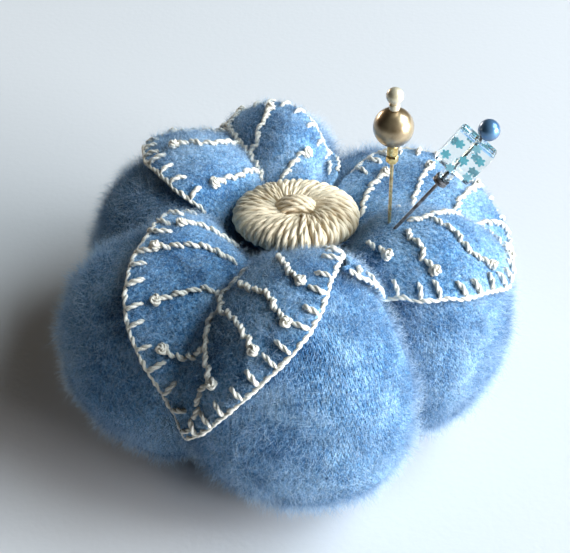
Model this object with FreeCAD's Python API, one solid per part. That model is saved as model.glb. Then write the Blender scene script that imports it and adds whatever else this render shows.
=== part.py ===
"""Flower pin cushion: a stuffed wool ball tied into six segments, three embroidered felt leaves,
a thread-wrapped button and two beaded pins.  Millimetres, +Z up.  The shapes are drawn about the
upright line that the ties follow and moved at the end, so that the origin lies on the resting
plane under the middle of the whole part's box."""
import FreeCAD, Part
import math
import os

V = FreeCAD.Vector
Z = V(0, 0, 1)

# ---------------------------------------------------------------- driving dimensions
GROOVES = [7.0, 74.0, 117.0, 180.0, 241.0, 305.0]       # direction of each tied groove, degrees from +X
REACH = [50.5, 47.5, 47.0, 51.5, 51.5, 45.5]            # how far each segment reaches from the middle
CREST = [38.8, 45.8, 46.8, 47.0, 52.0, 47.5]            # height of each segment's crest
GROOVE_REACH = [41.5, 34.5, 40.0, 38.0, 40.0, 36.0]     # how far the bottom of each groove reaches
SEGMENT_HALF = 23.0          # half width of a segment's round outer side, seen in section
GROOVE_MID = 23.0            # height of the groove's widest point
GROOVE_RISE = [14.4, 13.4, 15.4, 15.4, 15.4, 15.4]      # half height of each groove's section
PRESSED = 1.0                # how much of each segment's underside is pressed flat
SEAT_R, SEAT_Z = 12.0, 36.5  # rim of the dimple that the button sits in
FLOOR_Z = 36.0               # bottom of that dimple
GROOVE_DROP = 2.1            # grooves run on across the dimple this much lower
TUNNEL_R = 1.6               # the ties pull top and bottom together round this narrow tunnel
BASE_Z = 11.0                # top of the dimple in the underside
SHOULDER = 0.8               # below 1 makes the shoulder round the button squarer

FABRIC = 1.8                 # felted knit of the cover
FIT_GAP = 0.15               # stuffing to cover
THREAD_R = 0.38              # strong cotton thread
TIE_LIFT = 0.1               # gap under a tie
CHANNEL_HALF = 0.62          # half width of the channel that a tie lies in
CHANNEL_SHARE = 0.55         # near the tunnel a channel takes no more than this share of a segment
TIE_TOP, TIE_BOTTOM = -1.18, 0.96    # places along the surface where a tie starts and ends
CENTRE_TIE_R = 1.2           # the ties run down the middle as one bundle
KNOT_Z = 8.8                 # middle of the knot in the underside's dimple
BASE_KNOT_R, BASE_KNOT_SQUASH = 2.6, 0.58

FELT = 1.5                   # leaf felt
LEAF_GAP = 0.3               # leaf to cover
BRIDGE_IN = 0.3              # how much a leaf bridges a groove by the button: 0 follows it, 1 ignores it
BRIDGE_END = -0.4            # place along the surface from which it bridges by its own "bridge"
LEAF_START = -0.95           # where a leaf begins, inside the seat ring

BUTTON_Z = 43.3
BUTTON_TILT = -10.0          # the button leans back, with its front edge up on the front leaf
BUTTON_RING = 7.4            # radius of the ring's middle line
BUTTON_W, BUTTON_H = 5.4, 3.2    # half width and half height of the wrapped ring's section
WRAP = 0.9                   # depth of the thread wrapping
WRAP_FIT = 0.05              # thread to mould
BAR_STRANDS = 4              # strands lying across the hole
BAR_STRAND_R = 0.42
BAR_PITCH = 0.92
BAR_HALF = 3.1               # half their length
BAR_TOP = 2.35               # their height over the button's middle plane
BAR_ARCH = 0.09              # how fast they curve down towards their ends

PIN_R = 0.33
PIN_FIT = 0.05               # running fit round a pin
CRIMP_FIT = 0.01             # a crimp grips its pin
PIN_SUNK = 19.0              # length of pin inside the cushion
PIN_POINT = 2.0              # length of the tapered point
PIN_CLEAR = 5.5              # the bore goes on this far above the place where a pin enters
PIN_SPARE = 0.5              # and this far below the point of a pin pushed right down

# Each pin: foot where it enters, lean towards +X in degrees, how much deeper it can be pushed, and its
# beads in order from below, as (radius, height, distance of the lower face from the foot) or, for a
# pearl, (radius, distance of its centre from the foot).
PEARL_PIN = {
    "foot": V(17.9, -8.3, 49.0), "lean": -1.3, "push": 10.0, "top": 28.6,
    "crimp": (1.15, 1.55, 14.0), "spacer": (1.05, 2.4, 15.7), "pearl": (3.75, 21.95),
    "collar": (1.0, 1.3, 25.75), "cap": (1.6, 28.65)}
TILE_PIN = {
    "foot": V(19.6, -10.2, 49.6), "lean": 33.8, "push": 6.0, "top": 26.4,
    "crimp": (1.45, 1.2, 12.2), "seed_bead": (1.25, 2.3, 13.5), "cap": (2.02, 26.5)}
TILE_SIDE, TILE_THICK = 8.1, 3.6
TILE_LOW = 15.9              # distance of the tile's lower side from the foot
TILE_ROUND = 0.7             # its edges are rounded
TILE_BORE_R = 0.5
TILE_TURN = -23.0            # the tile is turned this much about its pin

# Each leaf: direction of its middle, how much it bridges a groove further out, its outline and the line
# where it starts near the button, both as (degrees from the middle, place along the surface), where -1 is
# the seat ring under the button and 0 is the cushion's widest line.  Veins and knots use the same two
# measures; the first vein is the main one.
LEAVES = {
    "front": {
        "middle": 246.0, "bridge": 0.55,
        "outline": [(-66, -0.70), (-58, -0.65), (-49.5, -0.63), (-42.5, -0.59), (-38, -0.535),
                    (-29.5, -0.445), (-23, -0.37), (-14.5, -0.275), (-8, -0.19), (-4.5, -0.12),
                    (-0.5, -0.045), (5, -0.11), (8.5, -0.165), (14, -0.24), (18, -0.29), (25, -0.375),
                    (30, -0.45), (36, -0.565), (45.5, -0.665), (50, -0.80)],
        "base": [(-66, LEAF_START), (50, LEAF_START)],
        "veins": [[(-1, -0.68), (-3, -0.60), (-4.5, -0.55), (-1, -0.485), (-2.5, -0.45), (-1, -0.385),
                   (1, -0.325), (3.5, -0.27), (2, -0.21), (2, -0.135)],
                  [(-4.5, -0.55), (-9, -0.585), (-14, -0.545), (-19.5, -0.465)],
                  [(-1, -0.47), (5.5, -0.445), (11, -0.39), (13.5, -0.355)],
                  [(-0.5, -0.355), (-2.5, -0.32), (-7.5, -0.33), (-11, -0.34)],
                  [(1.5, -0.575), (9, -0.535), (14, -0.52), (19, -0.455), (21, -0.43)],
                  [(14, -0.705), (20, -0.605), (25, -0.555)],
                  [(-12, -0.755), (-18, -0.73), (-24.5, -0.70), (-29, -0.65), (-34.5, -0.59)],
                  [(-30, -0.93), (-34, -0.875), (-38, -0.805), (-41.5, -0.745), (-42, -0.695)]],
        "knots": [(-19.5, -0.465), (13.5, -0.355), (-11, -0.34), (21, -0.43), (25, -0.555), (-34.5, -0.59),
                  (-42, -0.695), (5, -0.255)]},
    "back": {
        "middle": 120.0, "bridge": 0.55,
        "outline": [(-55, -0.81), (-48.5, -0.635), (-41.5, -0.57), (-37, -0.53), (-32, -0.485), (-26, -0.43),
                    (-19, -0.34), (-11, -0.23), (-3, -0.12), (6, -0.21), (15, -0.29), (23, -0.35),
                    (29.5, -0.405), (34.5, -0.445), (39, -0.495), (45, -0.565), (52, -0.63), (58, -0.74)],
        "base": [(-55, LEAF_START), (58, LEAF_START)],
        "veins": [[(-2.5, -0.865), (-4, -0.795), (-4, -0.68), (-4, -0.61), (-4.5, -0.505), (-6, -0.38),
                   (-4, -0.22)],
                  [(-4, -0.66), (-9.5, -0.65), (-13, -0.605), (-16.5, -0.58), (-20.5, -0.51)],
                  [(-18, -0.92), (-25.5, -0.875), (-32, -0.81), (-38.5, -0.76)],
                  [(-4, -0.57), (9, -0.61), (17, -0.60), (21, -0.56), (26, -0.525)],
                  [(-3, -0.785), (16, -0.84), (29, -0.815), (39.5, -0.78)],
                  [(-6, -0.40), (-10, -0.37), (-13, -0.33)],
                  [(-5, -0.42), (6, -0.40), (12, -0.35)]],
        "knots": [(-20.5, -0.51), (-38.5, -0.76), (26, -0.525), (39.5, -0.78), (-13, -0.33), (12, -0.35)]},
    "right": {
        "middle": 357.0, "bridge": 0.35,
        "outline": [(-68, -0.59), (-64.5, -0.56), (-57, -0.525), (-48.5, -0.465), (-44, -0.41),
                    (-37, -0.36), (-33, -0.325), (-25, -0.28), (-17, -0.22), (-10, -0.195), (-2, -0.175),
                    (6, -0.13), (14, -0.09), (20, -0.15), (27, -0.22), (35, -0.30), (42, -0.41), (46, -0.50),
                    (51, -0.56), (55.5, -0.625), (59, -0.695), (60, -0.83)],
        "base": [(-68, -0.60), (-64.5, -0.61), (-60, -0.70), (-56, LEAF_START), (60, LEAF_START)],
        "veins": [[(-19, -0.61), (-14, -0.57), (-9.5, -0.55), (-4.5, -0.515), (3, -0.475), (9, -0.435),
                   (14, -0.385), (17, -0.30), (18, -0.22), (14, -0.14)],
                  [(2, -0.68), (13, -0.73), (23, -0.755), (32.5, -0.70), (38, -0.62)],
                  [(23, -0.945), (33.5, -0.915), (41.5, -0.855), (45, -0.79)],
                  [(3, -0.48), (12, -0.52), (19, -0.545), (23.5, -0.51), (30.5, -0.39)],
                  [(-40, -0.73), (-40.5, -0.65), (-41, -0.60)],
                  [(-25, -0.605), (-28.5, -0.565), (-30, -0.535), (-33.5, -0.505), (-34.5, -0.455)],
                  [(-13.5, -0.55), (-15.5, -0.485), (-17.5, -0.45), (-20, -0.40), (-18, -0.325)],
                  [(10, -0.33), (3, -0.27), (-1, -0.215)]],
        "knots": [(38, -0.62), (45, -0.79), (30.5, -0.39), (-41, -0.60), (-34.5, -0.455), (-18, -0.325),
                  (-1, -0.215)]},
}
EDGE_CORD_R = 0.5            # blanket stitch along the rim
EDGE_OUT = 0.012             # its cord lies this much outside the outline, as a place along the surface
TICK_R = 0.42                # its short arms
TICK_LENGTH = 3.4
TICK_PITCH = 4.2
TICK_GAP = 0.4               # arm to cord
TICK_TURN, TICK_REACH = 0.97, 0.08   # an arm heads for a place this much nearer the middle and further in
VEIN_R = 0.5                 # stem stitch
KNOT_R = 1.1                 # French knots
SUNK = 0.6                   # share of a thread's radius that its line lies above the felt

BOX_MIDDLE = V(0.0, 2.0, 0.0)    # the whole part moves this much, which puts its box's middle over the origin

# grid sizes of the soft surfaces
ACROSS = 10                  # columns of poles across a segment
ALONG = 26                   # rows of poles from the seat ring to the tunnel
UNDER_SEAT = 3               # rows of poles across the dimple
DIMPLE_PLACE = -1.25         # place along the surface where the dimple meets the tunnel
LEAF_COLUMNS = 12
LEAF_ROWS = 12
TIE_ROWS = 24
CORD_SIDES = 6


# ---------------------------------------------------------------- surfaces through a grid of poles
def knots_for(count, degree):
    """Knots and multiplicities of an open spline with this many poles."""
    spans = count - degree
    return [float(i) for i in range(spans + 1)], [degree + 1] + [1] * (spans - 1) + [degree + 1]


def patch(rows, degree_u=3, degree_v=3, closed_u=False):
    """A face whose B-spline surface has these rows of poles."""
    across = len(rows)
    along = len(rows[0])
    degree_u = min(degree_u, across - 1)
    degree_v = min(degree_v, along - 1)
    if closed_u:
        knots_u = [float(i) for i in range(across + 1)]
        mults_u = [1] * (across + 1)
    else:
        knots_u, mults_u = knots_for(across, degree_u)
    knots_v, mults_v = knots_for(along, degree_v)
    surface = Part.BSplineSurface()
    surface.buildFromPolesMultsKnots(rows, mults_u, mults_v, knots_u, knots_v, closed_u, False,
                                     degree_u, degree_v)
    return surface.toShape()


def solid_of(faces, tolerance=1e-4):
    """Faces that share their edges, sewn into one solid with its faces outward."""
    shell = Part.makeShell(faces)
    shell.sewShape(tolerance)
    shape = Part.Solid(Part.Shell(shell.Faces) if shell.ShapeType != "Shell" else shell)
    if shape.Volume < 0:
        shape.reverse()
    shape.fix(1e-5, 1e-5, 1e-4)
    return shape


def tube(points, radius, sides=CORD_SIDES):
    """A round cord along a list of points, closed by flat ends.  A closed cubic spline runs inside its
    poles, so they stand further out than the radius."""
    pole_r = radius * 6.0 / (4.0 + 2.0 * math.cos(2.0 * math.pi / sides))
    rings = []
    normal = None
    for i, p in enumerate(points):
        before = points[max(i - 1, 0)]
        after = points[min(i + 1, len(points) - 1)]
        along = (after - before).normalize()
        if normal is None:
            normal = along.cross(V(0, 0, 1) if abs(along.z) < 0.9 else V(1, 0, 0))
        normal = (normal - along * normal.dot(along)).normalize()
        side = along.cross(normal)
        ring = []
        for j in range(sides):
            a = 2.0 * math.pi * j / sides
            ring.append(p + normal * (pole_r * math.cos(a)) + side * (pole_r * math.sin(a)))
        rings.append(ring)
    wall = patch([[ring[j] for ring in rings] for j in range(sides)], closed_u=True)
    ends = [e for e in wall.Edges if e.isClosed()]
    caps = [Part.Face(Part.Wire([e])) for e in ends]
    return solid_of([wall] + caps)


def smooth(points, per_span=3):
    """Catmull-Rom points through a hand-set list of pairs."""
    result = []
    last = len(points) - 1
    for i in range(last):
        p0, p1, p2, p3 = points[max(i - 1, 0)], points[i], points[i + 1], points[min(i + 2, last)]
        for j in range(per_span):
            t = j / per_span
            result.append(tuple(b + ((c - a) * t + (2 * a - 5 * b + 4 * c - d) * t ** 2
                                     + (3 * b - a - 3 * c + d) * t ** 3) / 2.0
                                for a, b, c, d in zip(p0, p1, p2, p3)))
    result.append(tuple(points[last]))
    return result


# ---------------------------------------------------------------- the cushion's soft form
def section(s, reach, half, mid, rise, drop=0.0, skin=0.0):
    """Radius and height at place s of one upright section: below -1 the dimple's floor,
    -1 its rim, 0 the widest point, 1 the mouth of the tunnel underneath."""
    seat_z = SEAT_Z - drop + skin
    floor_z = FLOOR_Z - drop + skin
    tunnel_r = TUNNEL_R - min(skin, 0.0)
    base_z = BASE_Z - min(skin, 0.0) if skin < 0 else BASE_Z
    if s < -1.0:
        f = min((-1.0 - s) / (-1.0 - DIMPLE_PLACE), 1.0)
        return SEAT_R + (tunnel_r - SEAT_R) * f, seat_z + (floor_z - seat_z) * f
    ring = reach - half
    top = math.asin((seat_z - mid) / rise)
    bottom = math.asin((mid - base_z) / rise)
    if s < 0.0:
        a = -s * (math.pi - top)
    else:
        a = -s * (math.pi - bottom)
    c = math.cos(a)
    if a > math.pi / 2.0:
        r = ring - (ring - SEAT_R) * (-c / math.cos(top)) ** SHOULDER
    elif a < -math.pi / 2.0:
        r = ring - (ring - tunnel_r) * (-c) / math.cos(bottom)
    else:
        r = ring + half * c
    return r, mid + rise * math.sin(a)


def groove_section(k, s, skin=0.0):
    """Section along the bottom of a groove."""
    reach, rise = GROOVE_REACH[k % 6], GROOVE_RISE[k % 6]
    return section(s, reach + skin, reach / 2.0 + skin, GROOVE_MID, rise + skin, GROOVE_DROP, skin)


def crest_section(k, s, skin=0.0):
    """Section along the crest of a segment."""
    crest = CREST[k % 6]
    return section(s, REACH[k % 6] + skin, SEGMENT_HALF + skin, (crest - PRESSED) / 2.0,
                   (crest + PRESSED) / 2.0 + skin, 0.0, skin)


def lobe_angles(k):
    """Directions of the grooves before and after segment k."""
    start = GROOVES[k]
    end = GROOVES[(k + 1) % 6]
    return start, end if end > start else end + 360.0


def segment_point(k, u, s, skin=0.0, bridge=0.0, channel=0.0):
    """Point of segment k: u runs from -1 to 1 between its two grooves.  What bridging adds to the swell is
    measured up to a crest between this segment's and its neighbour's."""
    start, end = lobe_angles(k)
    w = math.sqrt(max(1.0 - u * u, 0.0))
    more = (w ** 4 + bridge ** 4) ** 0.25 - w
    crest_r, crest_z = crest_section(k, s, skin)
    beside_r, beside_z = crest_section(k + 1 if u > 0.0 else k - 1, s, skin)
    between_r = crest_r + (beside_r - crest_r) * abs(u) / 2.0
    between_z = crest_z + (beside_z - crest_z) * abs(u) / 2.0
    r0, z0 = groove_section(k, s, skin)
    r1, z1 = groove_section(k + 1, s, skin)
    f = (u + 1.0) / 2.0
    low_r = r0 + (r1 - r0) * f
    low_z = z0 + (z1 - z0) * f
    r = low_r + (crest_r - low_r) * w + (between_r - low_r) * more
    z = low_z + (crest_z - low_z) * w + (between_z - low_z) * more
    half = (end - start) / 2.0
    squeeze = min(math.degrees(channel / low_r), CHANNEL_SHARE * half) if channel else 0.0
    angle = math.radians((start + end) / 2.0 + (half - squeeze) * u)
    return V(r * math.cos(angle), r * math.sin(angle), z)


def on_leaf(leaf, d, s, above):
    """Point above a leaf's upper face, in a direction d from its middle."""
    degrees = (leaf["middle"] + d - GROOVES[0]) % 360.0 + GROOVES[0]
    k = max(i for i in range(6) if GROOVES[i] <= degrees)
    start, end = lobe_angles(k)
    u = (2.0 * degrees - start - end) / (end - start)
    share = min(max((s + 1.0) / (BRIDGE_END + 1.0), 0.0), 1.0)
    bridge = BRIDGE_IN + (leaf["bridge"] - BRIDGE_IN) * share
    return segment_point(k, u, s, LEAF_GAP + FELT + above, bridge)


def places():
    """Places of the rows of poles along the surface."""
    under = [DIMPLE_PLACE - (1.0 + DIMPLE_PLACE) * i / UNDER_SEAT for i in range(UNDER_SEAT)]
    return under + [-1.0 + 2.0 * i / ALONG for i in range(ALONG + 1)]


def cushion_form(skin, channel):
    """Closed solid of the six segments, the tie channels between them and the tunnel wall."""
    grids = []
    for k in range(6):
        columns = []
        for i in range(ACROSS + 1):
            u = math.sin(math.pi * (i / ACROSS - 0.5))
            columns.append([segment_point(k, u, s, skin, 0.0, channel) for s in places()])
        grids.append(columns)
    faces = []
    for k in range(6):
        strip = [grids[k - 1][-1], grids[k][0]]
        for columns in (grids[k], strip):
            faces.append(patch(columns))
            faces.append(patch([[c[-1], c[0]] for c in columns]))
    return solid_of(faces)


def cushion_parts(channels):
    """The cover, as six solids that meet in the grooves, and the filling."""
    wide = 2 * max(REACH)
    below = Part.makeBox(2 * wide, 2 * wide, wide, V(-wide, -wide, -wide))
    outer = cushion_form(0.0, CHANNEL_HALF).cut(below)
    hollow = cushion_form(-FABRIC, CHANNEL_HALF + FABRIC)
    filling = cushion_form(-FABRIC - FIT_GAP, CHANNEL_HALF + FABRIC + FIT_GAP)
    cover = outer.cut(hollow).cut(channels)
    segments = []
    for k in range(6):
        start, end = lobe_angles(k)
        wedge = Part.makeCylinder(wide, wide, V(0, 0, -1), Z, end - start)
        wedge.rotate(V(0, 0, 0), Z, start)
        segments += cover.common(wedge).Solids
    return Part.makeCompound(segments), filling.cut(channels)


def groove_thread(k):
    """One tie, lying in its groove from the dimple on top to the knot underneath."""
    outside = [-1.0 + (TIE_BOTTOM + 1.0) * i / TIE_ROWS for i in range(TIE_ROWS + 1)]
    flat = [groove_section(k, s) for s in [TIE_TOP, (TIE_TOP - 1.0) / 2] + outside]
    angle = math.radians(GROOVES[k])
    path = []
    for i, (r, z) in enumerate(flat):
        before = flat[max(i - 1, 0)]
        after = flat[min(i + 1, len(flat) - 1)]
        dr, dz = after[0] - before[0], after[1] - before[1]
        size = math.hypot(dr, dz)
        lift = THREAD_R + TIE_LIFT
        r += -dz / size * lift
        z += dr / size * lift
        path.append(V(r * math.cos(angle), r * math.sin(angle), z))
    return tube(path, THREAD_R)


# ---------------------------------------------------------------- leaves and their stitches
def line_at(points, degrees):
    """Where an outline or a base line lies in a direction, along straight runs between its points."""
    for (d0, s0), (d1, s1) in zip(points, points[1:]):
        if degrees <= d1:
            return s0 + (s1 - s0) * (degrees - d0) / (d1 - d0)
    return points[-1][1]


def leaf_solid(leaf):
    """Two halves, left and right of the tip, each with a face above and one below."""
    points = leaf["outline"]
    tip = max(points, key=lambda p: p[1])[0]
    faces = []
    for start, end in ((points[0][0], tip), (tip, points[-1][0])):
        grids = []
        for above in (-FELT, 0.0):
            columns = []
            for i in range(LEAF_COLUMNS + 1):
                d = start + (end - start) * i / LEAF_COLUMNS
                inner, outer = line_at(leaf["base"], d), line_at(points, d)
                columns.append([on_leaf(leaf, d, inner + (outer - inner) * j / LEAF_ROWS, above)
                                for j in range(LEAF_ROWS + 1)])
            grids.append(columns)
        low, high = grids
        faces += [patch(low), patch(high)]
        faces.append(patch([[c[0] for c in low], [c[0] for c in high]]))
        faces.append(patch([[c[-1] for c in low], [c[-1] for c in high]]))
        outer_column = 0 if end == tip else -1
        faces.append(patch([low[outer_column], high[outer_column]]))
    return solid_of(faces)


def edge_stitches(leaf):
    """Blanket stitch: a cord along the outer edge and short ticks pointing inwards."""
    rim = smooth(leaf["outline"])
    shapes = [tube([on_leaf(leaf, d, s + EDGE_OUT, -FELT / 2.0) for d, s in rim], EDGE_CORD_R)]
    travelled = TICK_PITCH / 2.0
    fine = smooth(leaf["outline"], 12)
    for (d0, s0), (d1, s1) in zip(fine, fine[1:]):
        rim_point = on_leaf(leaf, d1, s1, 0.0)
        travelled += on_leaf(leaf, d0, s0, 0.0).distanceToPoint(rim_point)
        if travelled < TICK_PITCH:
            continue
        travelled = 0.0
        further_in = on_leaf(leaf, d1 * TICK_TURN, s1 - TICK_REACH, 0.0)
        inward = (further_in - rim_point).normalize()
        start = rim_point + inward * (EDGE_CORD_R + TICK_GAP) + V(0, 0, TICK_R * SUNK)
        shapes.append(Part.makeCylinder(TICK_R, TICK_LENGTH, start, inward))
    return Part.makeCompound(shapes)


def veins(leaf):
    """Stem stitch: a cord along each vein; a side vein starts clear of the main one."""
    shapes = []
    for number, route in enumerate(leaf["veins"]):
        line = smooth(route, 4)
        if number > 0:
            line = line[1:]
        shapes.append(tube([on_leaf(leaf, d, s, VEIN_R * SUNK) for d, s in line], VEIN_R))
    return Part.makeCompound(shapes)


def knots(leaf):
    """French knots at the ends of the veins."""
    return Part.makeCompound([Part.makeSphere(KNOT_R, on_leaf(leaf, d, s, KNOT_R * SUNK))
                              for d, s in leaf["knots"]])


# ---------------------------------------------------------------- button
def ring_of(half_width, half_height):
    """Ring with an oval section."""
    ellipse = Part.Ellipse(V(BUTTON_RING, 0, 0), half_width, half_height)
    ellipse.rotate(FreeCAD.Placement(V(0, 0, 0), FreeCAD.Rotation(V(1, 0, 0), 90)))
    return Part.Face(Part.Wire([ellipse.toShape()])).revolve(V(0, 0, 0), Z, 360)


def seat_button(shape):
    """Lean a shape back and set it in the dimple."""
    placed = shape.copy()
    placed.rotate(V(0, 0, 0), V(1, 0, 0), BUTTON_TILT)
    placed.translate(V(0, 0, BUTTON_Z))
    return placed


def button_parts():
    """The ring mould, the layer of thread round it, and the strands across its hole."""
    inside = WRAP + WRAP_FIT
    mould = ring_of(BUTTON_W - inside, BUTTON_H - inside)
    wrap = ring_of(BUTTON_W, BUTTON_H).cut(ring_of(BUTTON_W - WRAP, BUTTON_H - WRAP))
    strands = []
    for i in range(BAR_STRANDS):
        y = (i - (BAR_STRANDS - 1) / 2.0) * BAR_PITCH
        xs = [BAR_HALF * j / 3.0 for j in range(-3, 4)]
        strands.append(tube([V(x, y, BAR_TOP - BAR_ARCH * x * x) for x in xs], BAR_STRAND_R))
    return seat_button(mould), seat_button(wrap), seat_button(Part.makeCompound(strands))


# ---------------------------------------------------------------- pins
def stand(shape, pin):
    """Move a shape made on the Z axis onto a pin's axis, with its foot where the pin enters."""
    placed = shape.copy()
    placed.rotate(V(0, 0, 0), V(0, 1, 0), pin["lean"])
    placed.translate(pin["foot"])
    return placed


def shaft(top):
    """Wire with a tapered point, from inside the cushion up to a height above the foot."""
    body = Part.makeCylinder(PIN_R, top + PIN_SUNK - PIN_POINT, V(0, 0, PIN_POINT - PIN_SUNK))
    tip = Part.makeCone(PIN_R / 6, PIN_R, PIN_POINT, V(0, 0, -PIN_SUNK))
    return body.fuse(tip).removeSplitter()


def bored(shape, radius=PIN_R + PIN_FIT):
    """Cut the hole for the pin right through a bead that stands on the Z axis."""
    box = shape.BoundBox
    return shape.cut(Part.makeCylinder(radius, box.ZLength + 2.0, V(0, 0, box.ZMin - 1.0)))


def drum(radius, height, bottom):
    """Drum-shaped bead with rounded ends."""
    rounding = 0.35 * min(height, radius)
    body = Part.makeCylinder(radius, height, V(0, 0, bottom))
    rims = [e for e in body.Edges if e.isClosed()]
    return bored(body.makeFillet(rounding, rims))


def faceted_crimp(radius, height, bottom, sides=6):
    """Six-sided crimp with chamfered ends, squeezed onto the wire."""
    chamfer = 0.2 * radius
    turns = [2 * math.pi * i / sides for i in range(sides)]
    corners = [V(radius * math.cos(t), radius * math.sin(t), bottom) for t in turns]
    prism = Part.Face(Part.makePolygon(corners + corners[:1])).extrude(V(0, 0, height))
    flat = [e for e in prism.Edges if abs(e.Vertexes[0].Z - e.Vertexes[1].Z) < 1e-6]
    return bored(prism.makeChamfer(chamfer, flat), PIN_R + CRIMP_FIT)


def rimmed_crimp(radius, height, bottom):
    """Round crimp with a raised rim at each end and a waist between them."""
    waist, rim = radius * 0.78, height * 0.3
    profile = [(0, 0), (radius, 0), (radius, rim), (waist, rim * 1.4), (waist, height - rim * 1.4),
               (radius, height - rim), (radius, height), (0, height), (0, 0)]
    face = Part.Face(Part.makePolygon([V(r, 0, bottom + z) for r, z in profile]))
    return bored(face.revolve(V(0, 0, 0), Z, 360), PIN_R + CRIMP_FIT)


def pearl(radius, centre):
    """Round pearl bored right through."""
    return bored(Part.makeSphere(radius, V(0, 0, centre)))


def cap(radius, centre):
    """Pearl glued on the end of a pin, with a blind hole."""
    hole = Part.makeCylinder(PIN_R + PIN_FIT, radius + PIN_FIT, V(0, 0, centre - radius - PIN_FIT))
    return Part.makeSphere(radius, V(0, 0, centre)).cut(hole)


def pearl_pin():
    """The upright pin, with two gilt beads, a large pearl, a collar and a small pearl on top."""
    nodes = {
        "pearl_pin_shaft": shaft(PEARL_PIN["top"]),
        "pearl_pin_crimp": faceted_crimp(*PEARL_PIN["crimp"]),
        "pearl_pin_spacer": drum(*PEARL_PIN["spacer"]),
        "pearl_pin_pearl": pearl(*PEARL_PIN["pearl"]),
        "pearl_pin_collar": drum(*PEARL_PIN["collar"]),
        "pearl_pin_cap": cap(*PEARL_PIN["cap"]),
    }
    return {name: stand(shape, PEARL_PIN) for name, shape in nodes.items()}


def tile_pin():
    """The leaning pin, with a dark crimp, a seed bead, the square tile and a small pearl on top."""
    slab = Part.makeBox(TILE_SIDE, TILE_THICK, TILE_SIDE, V(-TILE_SIDE / 2, -TILE_THICK / 2, TILE_LOW))
    slab = bored(slab.makeFillet(TILE_ROUND, slab.Edges), TILE_BORE_R)
    slab.rotate(V(0, 0, 0), Z, TILE_TURN)
    nodes = {
        "tile_pin_shaft": shaft(TILE_PIN["top"]),
        "tile_pin_crimp": rimmed_crimp(*TILE_PIN["crimp"]),
        "tile_pin_seed_bead": drum(*TILE_PIN["seed_bead"]),
        "tile_pin_tile": slab,
        "tile_pin_cap": cap(*TILE_PIN["cap"]),
    }
    return {name: stand(shape, TILE_PIN) for name, shape in nodes.items()}


def pin_channel(pin):
    """The bore that a pin moves in, deep enough for the pin pushed right down."""
    depth = PIN_SUNK + pin["push"] + PIN_SPARE
    return stand(Part.makeCylinder(PIN_R + PIN_FIT, depth + PIN_CLEAR, V(0, 0, -depth)), pin)


# ---------------------------------------------------------------- build
def build():
    """Every node's shape by name, about the line of the ties."""
    channels = pin_channel(PEARL_PIN).fuse(pin_channel(TILE_PIN))
    nodes = {}
    nodes["cushion_cover"], nodes["stuffing"] = cushion_parts(channels)
    nodes["segment_ties"] = Part.makeCompound([groove_thread(k) for k in range(6)])
    tie_end = KNOT_Z + BASE_KNOT_R * BASE_KNOT_SQUASH / 3.0
    nodes["centre_tie"] = Part.makeCylinder(CENTRE_TIE_R, BUTTON_Z + WRAP - tie_end, V(0, 0, tie_end))
    squash = FreeCAD.Matrix()
    squash.scale(1.0, 1.0, BASE_KNOT_SQUASH)
    nodes["base_knot"] = Part.makeSphere(BASE_KNOT_R).transformGeometry(squash).translated(V(0, 0, KNOT_Z))
    for name, leaf in LEAVES.items():
        felt = leaf_solid(leaf)
        if name == "right":
            felt = felt.cut(channels)
        nodes[name + "_leaf"] = felt
        nodes[name + "_leaf_edging"] = edge_stitches(leaf)
        nodes[name + "_leaf_veins"] = veins(leaf)
        nodes[name + "_leaf_knots"] = knots(leaf)
    nodes["button_mould"], nodes["button_wrap"], nodes["button_bar"] = button_parts()
    nodes.update(pearl_pin())
    nodes.update(tile_pin())
    return nodes


os.makedirs("parts", exist_ok=True)
for node, shape in build().items():
    shape = shape.translated(BOX_MIDDLE)
    shape.exportStep("parts/" + node + ".step")
    print("%-22s %2d solids %9.2f mm3  valid %s" % (node, len(shape.Solids), shape.Volume, shape.isValid()))
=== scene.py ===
# %% [markdown]
# # A flower pin cushion in fulled wool
#
# The real thing is a ball of soft blue knitting that was washed until it felted, stuffed hard and tied
# six times round through its middle, so that it puffs into six segments. Three felt leaves with cream
# embroidery lie on top, a thread-wrapped button sits in the dimple, and two beaded pins stand in it.
#
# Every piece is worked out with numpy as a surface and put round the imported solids, which hold the true
# sizes and move at the joints. Lengths are kept in millimetres about the upright line of the ties, and
# become metres about the frame's own origin when a mesh is made: SHIFT leads from the one to the other.

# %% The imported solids
import math
import bpy
import numpy as np
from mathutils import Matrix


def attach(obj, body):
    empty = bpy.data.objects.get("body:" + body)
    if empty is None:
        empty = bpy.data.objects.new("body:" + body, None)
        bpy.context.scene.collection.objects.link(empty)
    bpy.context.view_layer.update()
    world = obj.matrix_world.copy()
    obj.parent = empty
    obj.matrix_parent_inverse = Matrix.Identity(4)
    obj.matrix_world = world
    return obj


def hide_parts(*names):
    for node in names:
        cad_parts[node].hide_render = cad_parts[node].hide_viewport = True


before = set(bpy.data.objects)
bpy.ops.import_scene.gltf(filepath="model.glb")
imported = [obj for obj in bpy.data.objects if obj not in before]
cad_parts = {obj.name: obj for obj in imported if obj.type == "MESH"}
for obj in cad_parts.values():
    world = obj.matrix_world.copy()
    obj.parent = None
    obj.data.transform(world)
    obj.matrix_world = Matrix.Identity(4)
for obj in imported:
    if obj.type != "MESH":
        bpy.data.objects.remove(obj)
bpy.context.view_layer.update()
MM, SHIFT = 0.001, np.array([0.0, 2.0, 0.0])
rng = np.random.default_rng(7)

# %% [markdown]
# ## The form of the cushion
#
# A segment seen in section is a rounded loop: it rises from the dimple under the button, goes over a
# crest, round the outer side and back under to the tunnel in the middle. The grooves between segments
# are the same loop drawn smaller. Across a segment the surface swells from one groove's loop to the
# crest's loop and back, following half a circle, which is how a stuffed tube bulges between two ties.

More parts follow.
